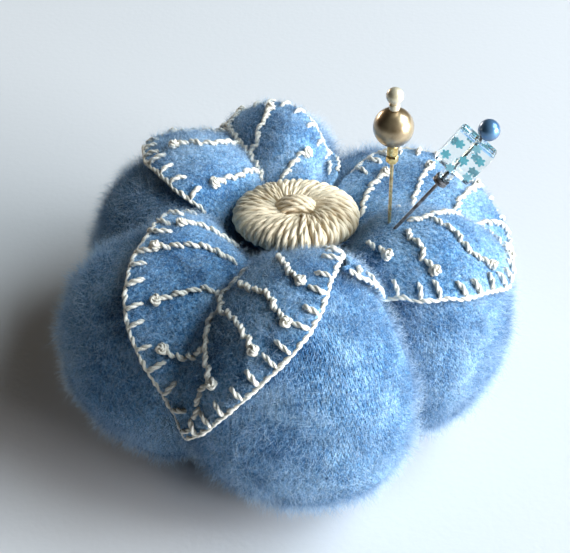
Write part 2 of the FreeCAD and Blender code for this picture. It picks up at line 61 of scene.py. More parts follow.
# %% Sizes of the six segments
# A row of six has one angle in degrees or one size in millimetres for each segment or groove. The rows,
# SEGMENT_HALF and GROOVE_MID began as the result of a fitting program, and were rounded. Some were then
# changed.
GROOVES = np.array([7.0, 74.0, 117.0, 180.0, 241.0, 305.0])
REACH = np.array([50.5, 47.5, 47.0, 51.5, 51.5, 45.5])
CREST = np.array([38.8, 45.8, 46.8, 47.0, 52.0, 47.5])
GROOVE_REACH = np.array([41.5, 34.5, 40.0, 38.0, 40.0, 36.0])
SEGMENT_HALF = 23.0
GROOVE_MID, GROOVE_DROP = 23.0, 2.1
GROOVE_RISE = np.array([14.4, 13.4, 15.4, 15.4, 15.4, 15.4])
SEAT_R, SEAT_Z, FLOOR_Z = 12.0, 36.5, 36.0
TUNNEL_R, BASE_Z = 1.6, 11.0
PRESSED, SHOULDER = 1.0, 0.8
GROOVES_AFTER = np.where(np.roll(GROOVES, -1) > GROOVES, np.roll(GROOVES, -1), np.roll(GROOVES, -1) + 360.0)


def section(s, reach, half, mid, rise, drop, lift):
    """Radius and height of one upright loop. s is -1 at the dimple's rim, 0 at the widest point and 1 at
    the tunnel's mouth below, and between them the angle round an ellipse grows evenly; the quarter next
    to the button is squared off by the power SHOULDER. Below -1 the loop runs in across the dimple."""
    seat_z, floor_z = SEAT_Z - drop + lift, FLOOR_Z - drop + lift
    ring = reach - half
    top, bottom = np.arcsin((seat_z - mid) / rise), np.arcsin((mid - BASE_Z) / rise)
    angle = np.where(s < 0, -np.clip(s, -1, 0) * (np.pi - top), -s * (np.pi - bottom))
    c = np.cos(angle)
    inner = ring - (ring - SEAT_R) * (np.abs(c) / np.cos(top)) ** SHOULDER
    under = ring - (ring - TUNNEL_R) * np.abs(c) / np.cos(bottom)
    r = np.where(angle > np.pi / 2, inner, np.where(angle < -np.pi / 2, under, ring + half * c))
    z = mid + rise * np.sin(angle)
    f = np.clip((-1 - s) / 0.25, 0, 1)
    in_dimple = s < -1
    return (np.where(in_dimple, SEAT_R + (TUNNEL_R - SEAT_R) * f, r),
            np.where(in_dimple, seat_z + (floor_z - seat_z) * f, z))


def over_cushion(degrees, s, lift=0.0, bridge=0.0):
    """Points in millimetres over the cushion: degrees round the middle, s along the loop, lifted by that
    many millimetres. The swell w across a segment is half a circle. A leaf spans a groove in a soft
    valley: its swell is (w^4 + bridge^4)^(1/4), and what that has more than w is measured up to a crest
    between those of the two segments that meet there."""
    degrees, s, lift, bridge = (np.asarray(v, float) for v in (degrees, s, lift, bridge))
    degrees, s, lift, bridge = np.broadcast_arrays(degrees, s, lift, bridge)
    turned = (degrees - GROOVES[0]) % 360.0 + GROOVES[0]
    k = np.searchsorted(GROOVES, turned, side="right") - 1
    after = (k + 1) % 6
    u = np.clip(2 * (turned - GROOVES[k]) / (GROOVES_AFTER[k] - GROOVES[k]) - 1, -1, 1)
    w = np.sqrt(1 - u * u)
    more = (w ** 4 + bridge ** 4) ** 0.25 - w
    crests = [section(s, REACH[g] + lift, SEGMENT_HALF + lift, (CREST[g] - PRESSED) / 2,
                      (CREST[g] + PRESSED) / 2 + lift, 0.0, lift) for g in (k, np.where(u > 0, after, k - 1))]
    low = [section(s, GROOVE_REACH[g] + lift, GROOVE_REACH[g] / 2 + lift, GROOVE_MID, GROOVE_RISE[g] + lift,
                   GROOVE_DROP, lift) for g in (k, after)]
    f = (u + 1) / 2
    r, z = ((1 - f) * low[0][i] + f * low[1][i] for i in (0, 1))
    between = [own + (beside - own) * np.abs(u) / 2 for own, beside in zip(*crests)]
    r, z = (at + (own - at) * w + (top - at) * more for at, own, top in zip((r, z), crests[0], between))
    a = np.radians(turned)
    return np.stack([r * np.cos(a), r * np.sin(a), z], -1)


widest = np.abs(over_cushion(np.arange(360.0), 0.0)[:, :2]).max(0)

# %% [markdown]
# ## Turning grids into meshes
#
# Every surface here is a grid of points, so one function makes all the meshes: it joins each point to
# its neighbours with quads, and closes a grid into a ring or a tube where asked. Points are handed to
# Blender as whole arrays.


# %% Mesh helpers
def make_piece(name, verts, quads, material, tris=None, uv=None, smooth=True):
    """A mesh object at the origin from points in millimetres and index arrays; metres = (point + SHIFT) x
    0.001. uv holds a pair for each point, in millimetres along the cloth."""
    quads = np.asarray(quads, np.int32).reshape(-1, 4)
    tris = np.zeros((0, 3), np.int32) if tris is None else np.asarray(tris, np.int32).reshape(-1, 3)
    mesh = bpy.data.meshes.new(name)
    loops = np.concatenate([quads.ravel(), tris.ravel()])
    starts = np.concatenate([np.arange(len(quads)) * 4, len(quads) * 4 + np.arange(len(tris)) * 3])
    mesh.vertices.add(len(verts))
    mesh.vertices.foreach_set("co", ((np.asarray(verts, float) + SHIFT) * MM).ravel())
    mesh.loops.add(len(loops))
    mesh.loops.foreach_set("vertex_index", loops.astype(np.int32))
    mesh.polygons.add(len(starts))
    mesh.polygons.foreach_set("loop_start", starts.astype(np.int32))
    mesh.update(calc_edges=True)
    mesh.polygons.foreach_set("use_smooth", np.full(len(starts), smooth))
    if uv is not None:
        layer = mesh.uv_layers.new(name="cloth")
        layer.data.foreach_set("uv", np.asarray(uv, float)[loops].ravel())
    piece = bpy.data.objects.new(name, mesh)
    bpy.context.scene.collection.objects.link(piece)
    mesh.materials.append(material)
    return piece


def grid_quads(rows, columns, close_rows=False, close_columns=False, offset=0):
    """Quads between the points of a grid, listed row after row; a closed direction joins its last line
    to its first."""
    i, j = np.meshgrid(np.arange(rows if close_rows else rows - 1),
                       np.arange(columns if close_columns else columns - 1), indexing="ij")
    i1, j1 = (i + 1) % rows, (j + 1) % columns
    quads = np.stack([i * columns + j, i1 * columns + j, i1 * columns + j1, i * columns + j1], -1)
    return quads.reshape(-1, 4) + offset


def unit(v):
    """Vectors scaled to length one."""
    return v / np.maximum(np.linalg.norm(v, axis=-1, keepdims=True), 1e-12)


def run_length(line):
    """Length run along a line at each of its points."""
    return np.concatenate([[0], np.cumsum(np.linalg.norm(np.diff(line, axis=0), axis=-1))])


def soft_noise(points, size, seed):
    """Smooth bumps between about -1 and 1: a few waves in random directions, about size millimetres long,
    added together."""
    pick = np.random.default_rng(seed)
    waves = unit(pick.normal(size=(9, 3))) * (2 * np.pi / (size * pick.uniform(0.7, 1.5, (9, 1))))
    return np.sin(points @ waves.T + pick.uniform(0, 2 * np.pi, 9)).sum(-1) / 4.0


# %% [markdown]
# ## Wool
#
# Fulled knitting still shows faint rows of stitches under a nap of loose fibres. The colour mixes three
# blues in clouds and fine flecks, and painted shade darkens it in the knit's valleys and in short gaps.
# The bump has the columns of the knit, which follow the cloth's own map, and a grain of fibres. A real
# nap of fibres is added as geometry further down.


# %% Material helpers
def start_material(name, roughness, color=(0.8, 0.8, 0.8)):
    """A new node material; returns it with a function that adds nodes and the Principled shader."""
    material = bpy.data.materials.new(name)
    material.use_nodes = True
    tree = material.node_tree
    shader = tree.nodes["Principled BSDF"]
    shader.inputs["Roughness"].default_value = roughness
    shader.inputs["Base Color"].default_value = (*color, 1)

    def add(kind, links=None, **values):
        """Adds a node, sets its options and inputs, and links outputs into its inputs."""
        made = tree.nodes.new(kind)
        for key, value in values.items():
            if hasattr(made, key):
                setattr(made, key, value)
            else:
                made.inputs[key.replace("_", " ")].default_value = value
        for key, output in (links or {}).items():
            tree.links.new(output, made.inputs[key])
        return made

    return material, tree, shader, add


def ramp(add, source, stops):
    """A colour ramp fed by an output; stops are (place, colour)."""
    made = add("ShaderNodeValToRGB", {0: source})
    made.color_ramp.elements.remove(made.color_ramp.elements[1])
    made.color_ramp.elements[0].position = stops[0][0]
    made.color_ramp.elements[0].color = (*stops[0][1], 1)
    for place, color in stops[1:]:
        made.color_ramp.elements.new(place).color = (*color, 1)
    return made


def bump(add, tree, shader, height, distance, strength=1.0):
    """Feeds a height into the shader's normal, as a bump of that many metres."""
    made = add("ShaderNodeBump", {"Height": height}, Strength=strength, Distance=distance)
    tree.links.new(made.outputs["Normal"], shader.inputs["Normal"])


# %% Fulled knit
WALE, COURSE = 1.0, 0.95      # width of a column of stitches and height of a row, in millimetres


def fulled_wool(name, knit, dark, middle, pale):
    """Felted knit: clouds and flecks of three blues, knit columns of WALE millimetres whose legs slant
    one way and then the other, short strokes where the wool gapes along the columns, and a fibre grain.
    The colour is darkened by painted shade in the knit's valleys and in the strokes. knit is how strongly
    the stitches show."""
    material, tree, shader, add = start_material(name, 0.95)
    where = add("ShaderNodeTexCoord")
    clouds = add("ShaderNodeTexNoise", {"Vector": where.outputs["Object"]}, Scale=95.0, Detail=5.0,
                 Roughness=0.62)
    flecks = add("ShaderNodeTexNoise", {"Vector": where.outputs["Object"]}, Scale=1700.0, Detail=4.0,
                 Roughness=0.75)
    both = add("ShaderNodeMix", {2: clouds.outputs["Fac"], 3: flecks.outputs["Fac"]}, data_type="FLOAT",
               Factor=0.55)
    shades = ramp(add, both.outputs[0], [(0.42, dark), (0.5, middle), (0.58, pale)])
    apart = add("ShaderNodeSeparateXYZ", {0: where.outputs["UV"]})
    wobble = add("ShaderNodeTexNoise", {"Vector": where.outputs["Object"]}, Scale=160.0, Detail=2.0)
    across = add("ShaderNodeMath", {0: wobble.outputs["Fac"], 2: apart.outputs[0]}, operation="MULTIPLY_ADD")
    across.inputs[1].default_value = 1.6
    column = add("ShaderNodeMath", {0: across.outputs[0]}, operation="PINGPONG")
    column.inputs[1].default_value = WALE / 2
    legs = add("ShaderNodeMath", {0: column.outputs[0], 2: apart.outputs[1]}, operation="MULTIPLY_ADD")
    legs.inputs[1].default_value = 1.5
    turns = add("ShaderNodeMath", {0: legs.outputs[0]}, operation="MULTIPLY")
    turns.inputs[1].default_value = 2 * math.pi / COURSE
    rows = add("ShaderNodeMath", {0: turns.outputs[0]}, operation="SINE")
    ridge = add("ShaderNodeMath", {0: column.outputs[0], 2: rows.outputs[0]}, operation="MULTIPLY_ADD")
    ridge.inputs[1].default_value = 3.0
    drawn_out = add("ShaderNodeMapping", {"Vector": where.outputs["UV"]})
    drawn_out.inputs["Scale"].default_value = (1.5, 0.6, 1.0)
    strokes = add("ShaderNodeTexNoise", {"Vector": drawn_out.outputs[0]}, Scale=1.0, Detail=3.0,
                  Roughness=0.65)
    # Painted shade: the colour is darkened in short strokes where the wool gapes.
    gapes = ramp(add, strokes.outputs["Fac"], [(0.38, (0.5,) * 3), (0.56, (1.0,) * 3)])
    show = add("ShaderNodeTexNoise", {"Vector": where.outputs["Object"]}, Scale=60.0, Detail=2.0)
    shown = ramp(add, show.outputs["Fac"], [(0.35, (0.15,) * 3), (0.65, (1.0,) * 3)])
    stitches = add("ShaderNodeMath", {0: ridge.outputs[0], 1: shown.outputs[0]}, operation="MULTIPLY")
    stitches_weak = add("ShaderNodeMath", {0: stitches.outputs[0]}, operation="MULTIPLY")
    stitches_weak.inputs[1].default_value = knit
    grain = add("ShaderNodeMath", {0: flecks.outputs["Fac"], 1: strokes.outputs["Fac"]}, operation="ADD")
    height = add("ShaderNodeMath", {0: stitches_weak.outputs[0], 1: grain.outputs[0]}, operation="ADD")
    # Painted shade: where the stitches are low, in the knit's valleys, the colour is darkened.
    fine = ramp(add, stitches.outputs[0], [(0.0, (0.72,) * 3), (0.9, (1.0,) * 3)])
    painted_valley_shade = add("ShaderNodeMix", {6: shades.outputs[0], 7: fine.outputs[0]}, data_type="RGBA",
                 blend_type="MULTIPLY", Factor=min(1.0, knit * 1.6))
    painted_gap_shade = add("ShaderNodeMix", {6: painted_valley_shade.outputs[2], 7: gapes.outputs[0]}, data_type="RGBA",
                 blend_type="MULTIPLY", Factor=0.8)
    tree.links.new(painted_gap_shade.outputs[2], shader.inputs["Base Color"])
    bump(add, tree, shader, height.outputs[0], 0.0005, 0.8)
    shader.inputs["Sheen Weight"].default_value = 0.35
    shader.inputs["Sheen Roughness"].default_value = 0.45
    shader.inputs["Sheen Tint"].default_value = (0.62, 0.82, 1.0, 1)
    shader.inputs["Specular IOR Level"].default_value = 0.15
    return material


cover_wool = fulled_wool("cover wool", 0.28, (0.05, 0.17, 0.36), (0.17, 0.37, 0.62), (0.39, 0.61, 0.83))
leaf_wool = fulled_wool("leaf wool", 0.04, (0.05, 0.17, 0.36), (0.17, 0.37, 0.61), (0.39, 0.60, 0.82))


# %% [markdown]
# ## The cushion's cover
#
# The cover is one grid wrapped round the middle, with its lines crowded towards the grooves, where the
# form turns sharply. Stuffing is never even, so broad and small swells are added first. Then the cover is
# blown up like real cloth: Blender's cloth solver lets it stretch under pressure while the ties, the
# dimple and the base hold it, and no point may travel more than a cap. The grid is already the stuffed
# form, so the solver only settles it, by a fraction of a millimetre.

# %% Cover before it is filled
PER_SEGMENT, ALONG = 30, 104
SWELL_CAP, PRESSURE, FILL_FRAMES = 1.3, 4.0, 20
FREE_AFTER = 7.0              # degrees over which the hold of a groove fades away
NAP_DEPTH = 0.6               # the knitting lies this much inside the form that the nap fills out
crowded = (1 + np.sin(np.pi * (np.arange(PER_SEGMENT) / PER_SEGMENT - 0.5))) / 2
cover_degrees = np.concatenate([a + (b - a) * crowded for a, b in zip(GROOVES, GROOVES_AFTER)])
cover_s = np.concatenate([np.linspace(-1.25, -1.03, 6), np.linspace(-1, 1, ALONG)])


def lumps(points):
    """Uneven stuffing: broad swells of half a millimetre and smaller ones on top."""
    return 0.55 * soft_noise(points, 26.0, 3) + 0.22 * soft_noise(points, 9.0, 4)


grid_degrees, grid_s = np.meshgrid(cover_degrees, cover_s, indexing="ij")
columns, rows = grid_s.shape
cover_form = over_cushion(grid_degrees, grid_s)
cover_out = over_cushion(grid_degrees, grid_s, 1.0) - cover_form
cover_points = cover_form + cover_out * (lumps(cover_form)[..., None] - NAP_DEPTH)
cover_points[..., 2] = np.maximum(cover_points[..., 2], 0.0)


def cover_mesh(name, points):
    """The cover as one closed mesh: the grid, and a fan over its small hole above and below. Its map is
    in millimetres round the middle and along the loop."""
    along, around = run_length(points[PER_SEGMENT // 2]), run_length(points[:, rows // 2])
    uv = np.stack(np.broadcast_arrays(around[:, None], along[None, :]), -1).reshape(-1, 2)
    lines, hub = np.arange(columns), columns * rows
    after = (lines + 1) % columns
    fans = np.concatenate([np.stack([lines * rows, after * rows, np.full(columns, hub)], -1),
                           np.stack([after * rows + rows - 1, lines * rows + rows - 1,
                                     np.full(columns, hub + 1)], -1)])
    made = make_piece(name, np.concatenate([points.reshape(-1, 3), points[:, [0, -1]].mean(0)]),
                      grid_quads(columns, rows, close_rows=True), cover_wool, fans,
                      np.concatenate([uv, [[0, 0], [0, 0]]]))
    # The quads that close the ring run on past the map's end instead of back to its start.
    closing = np.arange((columns - 1) * (rows - 1) * 4, columns * (rows - 1) * 4)
    flat = np.empty(len(made.data.loops) * 2)
    layer = made.data.uv_layers[0].data
    layer.foreach_get("uv", flat)
    flat = flat.reshape(-1, 2)
    at_start = closing[flat[closing, 0] < around[-1] / 2]
    flat[at_start, 0] += around[-1] + around[1]
    layer.foreach_set("uv", flat.ravel())
    return made


# %% Cover filled by the cloth solver
def fill_cover(points):
    """The grid after FILL_FRAMES frames of cloth under pressure without gravity. Points in the grooves, in
    the dimple and on the base are held; the others keep at most SWELL_CAP millimetres of their travel."""
    trial = cover_mesh("cover_trial", points)
    near_groove = np.zeros_like(grid_s)
    for groove in GROOVES:
        gap = np.abs((grid_degrees - groove + 180) % 360.0 - 180)
        near_groove = np.maximum(near_groove, np.clip(1.25 - gap / FREE_AFTER, 0, 1))
    near_ends = np.maximum(np.clip((-0.86 - grid_s) / 0.12, 0, 1), np.clip((grid_s - 0.5) / 0.3, 0, 1))
    held = np.maximum(near_groove, near_ends)
    held = np.concatenate([held.ravel(), [1.0, 1.0]])
    group = trial.vertex_groups.new(name="held")
    steps = 20
    for step in range(steps + 1):
        members = np.flatnonzero(np.round(held * steps) == step)
        if len(members):
            group.add(members.tolist(), step / steps, "REPLACE")
    cloth = trial.modifiers.new("cloth", "CLOTH")
    cloth.settings.vertex_group_mass = "held"
    cloth.settings.pin_stiffness = 40.0
    cloth.settings.quality = 5
    cloth.settings.use_pressure = True
    cloth.settings.uniform_pressure_force = PRESSURE
    cloth.settings.effector_weights.gravity = 0.0
    cloth.settings.tension_stiffness = cloth.settings.compression_stiffness = 6.0
    cloth.settings.bending_stiffness = 0.4
    cloth.collision_settings.use_collision = False
    cloth.point_cache.frame_start, cloth.point_cache.frame_end = 1, FILL_FRAMES
    for moment in range(1, FILL_FRAMES + 1):
        bpy.context.scene.frame_set(moment)
    evaluated = trial.evaluated_get(bpy.context.evaluated_depsgraph_get())
    moved = np.empty(len(trial.data.vertices) * 3)
    evaluated.data.vertices.foreach_get("co", moved)
    bpy.context.scene.frame_set(1)
    bpy.data.objects.remove(trial)
    travel = moved.reshape(-1, 3)[:columns * rows].reshape(columns, rows, 3) / MM - SHIFT - points
    far = np.linalg.norm(travel, axis=-1, keepdims=True)
    capped = SWELL_CAP * np.tanh(far / SWELL_CAP)
    print("solver moved points by", far.max().round(2), "mm at most, mean", far.mean().round(2))
    return points + travel / np.maximum(far, 1e-6) * capped


cover_points = fill_cover(cover_points)
cover_points[..., 2] = np.maximum(cover_points[..., 2], 0.0)
cover_drift = cover_points - cover_form
cover = cover_mesh("wool_cover", cover_points)
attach(cover, "cushion")
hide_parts("cushion_cover", "stuffing")
print("cover:", len(cover.data.vertices), "points")


def from_grid(values, degrees, s):
    """Reads a grid of values over the cover between its lines."""
    degrees, s = np.broadcast_arrays(np.asarray(degrees, float), np.asarray(s, float))
    turned = (degrees - GROOVES[0]) % 360.0 + GROOVES[0]
    i = np.interp(turned, np.append(cover_degrees, cover_degrees[0] + 360), np.arange(columns + 1))
    j = np.clip(np.interp(s, cover_s, np.arange(rows)), 0, rows - 1.001)
    i0, j0 = i.astype(int), j.astype(int)
    f, g = (i - i0)[..., None], (j - j0)[..., None]
    i0, i1 = i0 % columns, (i0 + 1) % columns
    return ((values[i0, j0] * (1 - f) + values[i1, j0] * f) * (1 - g)
            + (values[i0, j0 + 1] * (1 - f) + values[i1, j0 + 1] * f) * g)

# %% [markdown]
# ## Thread
#
# All the embroidery is pearl cotton, two plies twisted into a cord. Each ply is a thin tube that winds
# round the cord's line, so the twist is really there and catches the light in slanting flecks. One
# function makes any number of cords as one mesh.


# %% Cords of twisted plies
def resample(path, step):
    """The path cut into equal steps of about that many millimetres."""
    run = run_length(path)
    places = np.linspace(0, run[-1], max(int(round(run[-1] / step)) + 1, 4))
    return np.stack([np.interp(places, run, column) for column in path.T], -1)


def curve_through(points, per_span=8):
    """A smooth line through a few points: on each span the cubic whose slope at a point is half the way
    from the point before to the point after."""
    p = np.asarray(points, float)
    p = np.concatenate([p[:1] * 2 - p[1:2], p, p[-1:] * 2 - p[-2:-1]])
    t = np.linspace(0, 1, per_span, endpoint=False)[None, :, None]
    a, b, c, d = (p[i:len(p) - 3 + i, None, :] for i in range(4))
    line = 0.5 * (2 * b + (c - a) * t + (2 * a - 5 * b + 4 * c - d) * t ** 2
                  + (3 * b - a - 3 * c + d) * t ** 3)
    return np.concatenate([line.reshape(-1, p.shape[1]), p[-2:-1]])


def twisted_cords(name, paths, outwards, radius, material, pitch=2.4, sides=6, apart=0.5, taper=0.5):
    """Cords of two plies along several paths. Each ply's centre circles the path once every pitch
    millimetres at the share apart of the cord's radius, and a ring of sides points circles the ply.
    radius is one number or one for each path's points. Ends narrow to taper and are closed with a fan."""
    verts, quads, tris, uvs, count = [], [], [], [], 0
    ring = np.arange(sides) * 2 * np.pi / sides
    for number, (path, out) in enumerate(zip(paths, outwards)):
        size = radius[number] if isinstance(radius, (list, tuple)) else np.full(len(path), float(radius))
        along = unit(np.gradient(path, axis=0))
        side = unit(np.cross(along, out))
        up = np.cross(side, along)
        run = run_length(path)
        ends = np.clip(np.minimum(run, run[-1] - run) / np.maximum(size, 1e-6), 0, 1)
        size = size * (taper + (1 - taper) * np.sqrt(ends))
        ply_r = size * (1 - apart) * 1.12
        for ply in range(2):
            turn = 2 * np.pi * (run / pitch + ply / 2) + number * 1.7
            aside, above = size * apart * np.sin(turn), size * apart * np.cos(turn)
            centre = path + above[:, None] * up + aside[:, None] * side
            swirl = ring[None, :] + turn[:, None]
            points = (centre[:, None, :] + (ply_r[:, None] * np.cos(swirl))[..., None] * up[:, None, :]
                      + (ply_r[:, None] * np.sin(swirl))[..., None] * side[:, None, :])
            rows = len(path)
            verts += [points.reshape(-1, 3), centre[[0, -1]]]
            uvs.append(np.stack(np.broadcast_arrays(ring[None, :], run[:, None]), -1).reshape(-1, 2))
            uvs.append(np.zeros((2, 2)))
            quads.append(grid_quads(rows, sides, close_columns=True, offset=count)[:, ::-1])
            j = np.arange(sides)
            first, last = count + rows * sides, count + rows * sides + 1
            tris.append(np.stack([count + j, count + (j + 1) % sides, np.full(sides, first)], -1))
            base = count + (rows - 1) * sides
            tris.append(np.stack([base + (j + 1) % sides, base + j, np.full(sides, last)], -1))
            count += rows * sides + 2
    return make_piece(name, np.concatenate(verts), np.concatenate(quads), material, np.concatenate(tris),
                      np.concatenate(uvs))


# %% Cotton
def cotton(name, pale, deep):
    """Mercerised cotton: soft lustre, with fine streaks of shade along the plies."""
    material, tree, shader, add = start_material(name, 0.48)
    where = add("ShaderNodeTexCoord")
    cloud = add("ShaderNodeTexNoise", {"Vector": where.outputs["Object"]}, Scale=260.0, Detail=3.0)
    stretch = add("ShaderNodeMapping", {"Vector": where.outputs["UV"]})
    stretch.inputs["Scale"].default_value = (2.2, 0.5, 1.0)
    fibre = add("ShaderNodeTexNoise", {"Vector": stretch.outputs[0]}, Scale=1.6, Detail=4.0, Roughness=0.7)
    both = add("ShaderNodeMix", {2: cloud.outputs["Fac"], 3: fibre.outputs["Fac"]}, data_type="FLOAT",
               Factor=0.5)
    shades = ramp(add, both.outputs[0], [(0.3, deep), (0.55, pale)])
    tree.links.new(shades.outputs[0], shader.inputs["Base Color"])
    bump(add, tree, shader, fibre.outputs["Fac"], 0.00012, 0.7)
    shader.inputs["Sheen Weight"].default_value = 0.25
    shader.inputs["Sheen Roughness"].default_value = 0.4
    shader.inputs["Sheen Tint"].default_value = (1.0, 0.95, 0.85, 1)
    shader.inputs["Specular IOR Level"].default_value = 0.55
    return material


cream_cotton = cotton("cream cotton", (0.84, 0.71, 0.50), (0.68, 0.51, 0.31))
white_cotton = cotton("off-white cotton", (0.82, 0.78, 0.68), (0.56, 0.49, 0.38))
blue_cotton = cotton("blue cotton", (0.16, 0.30, 0.52), (0.07, 0.14, 0.28))

# %% [markdown]
# ## Leaves
#
# Each leaf is a flat cut piece of felt laid over the segments. Its outline, veins and knots are pairs of
# degrees round the middle and place along the cushion's loop. Most of these pairs were printed by a
# separate program that projects points onto this surface, and were rounded; they weren't chosen by hand,
# and an outline made from a few chosen values would be better code. The felt is a closed slab, made as a
# disc of points round the leaf's own centre for the upper face, a half-round rim, and the same disc
# again for the lower face. The rim curls up a little, as a cut edge with stitches pulled round it does.

# %% Outlines and veins of the three leaves
FELT, GAP, LEAF_START = 1.5, 0.3, -0.95
BRIDGE_IN, BRIDGE_END = 0.3, -0.4
LEAVES = {
    "front": {
        "middle": 246.0, "bridge": 0.55, "curl": 0.2,
        "outline": [(-66, -0.70), (-58, -0.65), (-49.5, -0.63), (-42.5, -0.59), (-38, -0.535),
                    (-29.5, -0.445), (-23, -0.37), (-14.5, -0.275), (-8, -0.19), (-4.5, -0.12),
                    (-0.5, -0.045), (5, -0.11), (8.5, -0.165), (14, -0.24), (18, -0.29), (25, -0.375),
                    (30, -0.45), (36, -0.565), (45.5, -0.665), (50, -0.80)],
        "base": [(-66, LEAF_START), (50, LEAF_START)],
        "veins": [[(-1, -0.68), (-3, -0.60), (-4.5, -0.55), (-1, -0.485), (-2.5, -0.45), (-1, -0.385),
                   (1, -0.325), (3.5, -0.27), (2, -0.21), (2, -0.135)],
                  [(-4.5, -0.55), (-9, -0.585), (-14, -0.545), (-19.5, -0.465)],
                  [(-1, -0.47), (5.5, -0.445), (11, -0.39), (13.5, -0.355)],
                  [(-0.5, -0.355), (-2.5, -0.32), (-7.5, -0.33), (-11, -0.34)],
                  [(1.5, -0.575), (9, -0.535), (14, -0.52), (19, -0.455), (21, -0.43)],
                  [(14, -0.705), (20, -0.605), (25, -0.555)],
                  [(-12, -0.755), (-18, -0.73), (-24.5, -0.70), (-29, -0.65), (-34.5, -0.59)],
                  [(-30, -0.93), (-34, -0.875), (-38, -0.805), (-41.5, -0.745), (-42, -0.695)]],
        "knots": [(-19.5, -0.465), (13.5, -0.355), (-11, -0.34), (21, -0.43), (25, -0.555), (-34.5, -0.59),
                  (-42, -0.695), (5, -0.255)]},
    "back": {
        "middle": 120.0, "bridge": 0.55, "curl": 0.15,
        "outline": [(-55, -0.81), (-48.5, -0.635), (-41.5, -0.57), (-37, -0.53), (-32, -0.485), (-26, -0.43),
                    (-19, -0.34), (-11, -0.23), (-3, -0.12), (6, -0.21), (15, -0.29), (23, -0.35),
                    (29.5, -0.405), (34.5, -0.445), (39, -0.495), (45, -0.565), (52, -0.63), (58, -0.74)],
        "base": [(-55, LEAF_START), (58, LEAF_START)],
        "veins": [[(-2.5, -0.865), (-4, -0.795), (-4, -0.68), (-4, -0.61), (-4.5, -0.505), (-6, -0.38),
                   (-4, -0.22)],
                  [(-4, -0.66), (-9.5, -0.65), (-13, -0.605), (-16.5, -0.58), (-20.5, -0.51)],
                  [(-18, -0.92), (-25.5, -0.875), (-32, -0.81), (-38.5, -0.76)],
                  [(-4, -0.57), (9, -0.61), (17, -0.60), (21, -0.56), (26, -0.525)],
                  [(-3, -0.785), (16, -0.84), (29, -0.815), (39.5, -0.78)],
                  [(-6, -0.40), (-10, -0.37), (-13, -0.33)],
                  [(-5, -0.42), (6, -0.40), (12, -0.35)]],
        "knots": [(-20.5, -0.51), (-38.5, -0.76), (26, -0.525), (39.5, -0.78), (-13, -0.33), (12, -0.35)]},
    "right": {
        "middle": 357.0, "bridge": 0.35, "curl": 0.15,
        "outline": [(-68, -0.59), (-64.5, -0.56), (-57, -0.525), (-48.5, -0.465), (-44, -0.41),
                    (-37, -0.36), (-33, -0.325), (-25, -0.28), (-17, -0.22), (-10, -0.195), (-2, -0.175),
                    (6, -0.13), (14, -0.09), (20, -0.15), (27, -0.22), (35, -0.30), (42, -0.41), (46, -0.50),
                    (51, -0.56), (55.5, -0.625), (59, -0.695), (60, -0.83)],
        "base": [(-68, -0.60), (-64.5, -0.61), (-60, -0.70), (-56, LEAF_START), (60, LEAF_START)],
        "veins": [[(-19, -0.61), (-14, -0.57), (-9.5, -0.55), (-4.5, -0.515), (3, -0.475), (9, -0.435),
                   (14, -0.385), (17, -0.30), (18, -0.22), (14, -0.14)],
                  [(2, -0.68), (13, -0.73), (23, -0.755), (32.5, -0.70), (38, -0.62)],
                  [(23, -0.945), (33.5, -0.915), (41.5, -0.855), (45, -0.79)],
                  [(3, -0.48), (12, -0.52), (19, -0.545), (23.5, -0.51), (30.5, -0.39)],
                  [(-40, -0.73), (-40.5, -0.65), (-41, -0.60)],
                  [(-25, -0.605), (-28.5, -0.565), (-30, -0.535), (-33.5, -0.505), (-34.5, -0.455)],
                  [(-13.5, -0.55), (-15.5, -0.485), (-17.5, -0.45), (-20, -0.40), (-18, -0.325)],
                  [(10, -0.33), (3, -0.27), (-1, -0.215)]],
        "knots": [(38, -0.62), (45, -0.79), (30.5, -0.39), (-41, -0.60), (-34.5, -0.455), (-18, -0.325),
                  (-1, -0.215)]},
}
DEGREES_PER_PLACE = 125.0     # makes one unit of s weigh as much as this many degrees
LEAF_HEART = np.array([0.0, -0.62])
CUT_IN = 0.975                # the felt ends a little inside the line that the rim cord follows
CURL_FROM = 0.72              # share of the way to the rim from which the felt curls up
CLOTH_MM = (0.45, 70)         # rough millimetres of cloth for one degree and for one unit of s


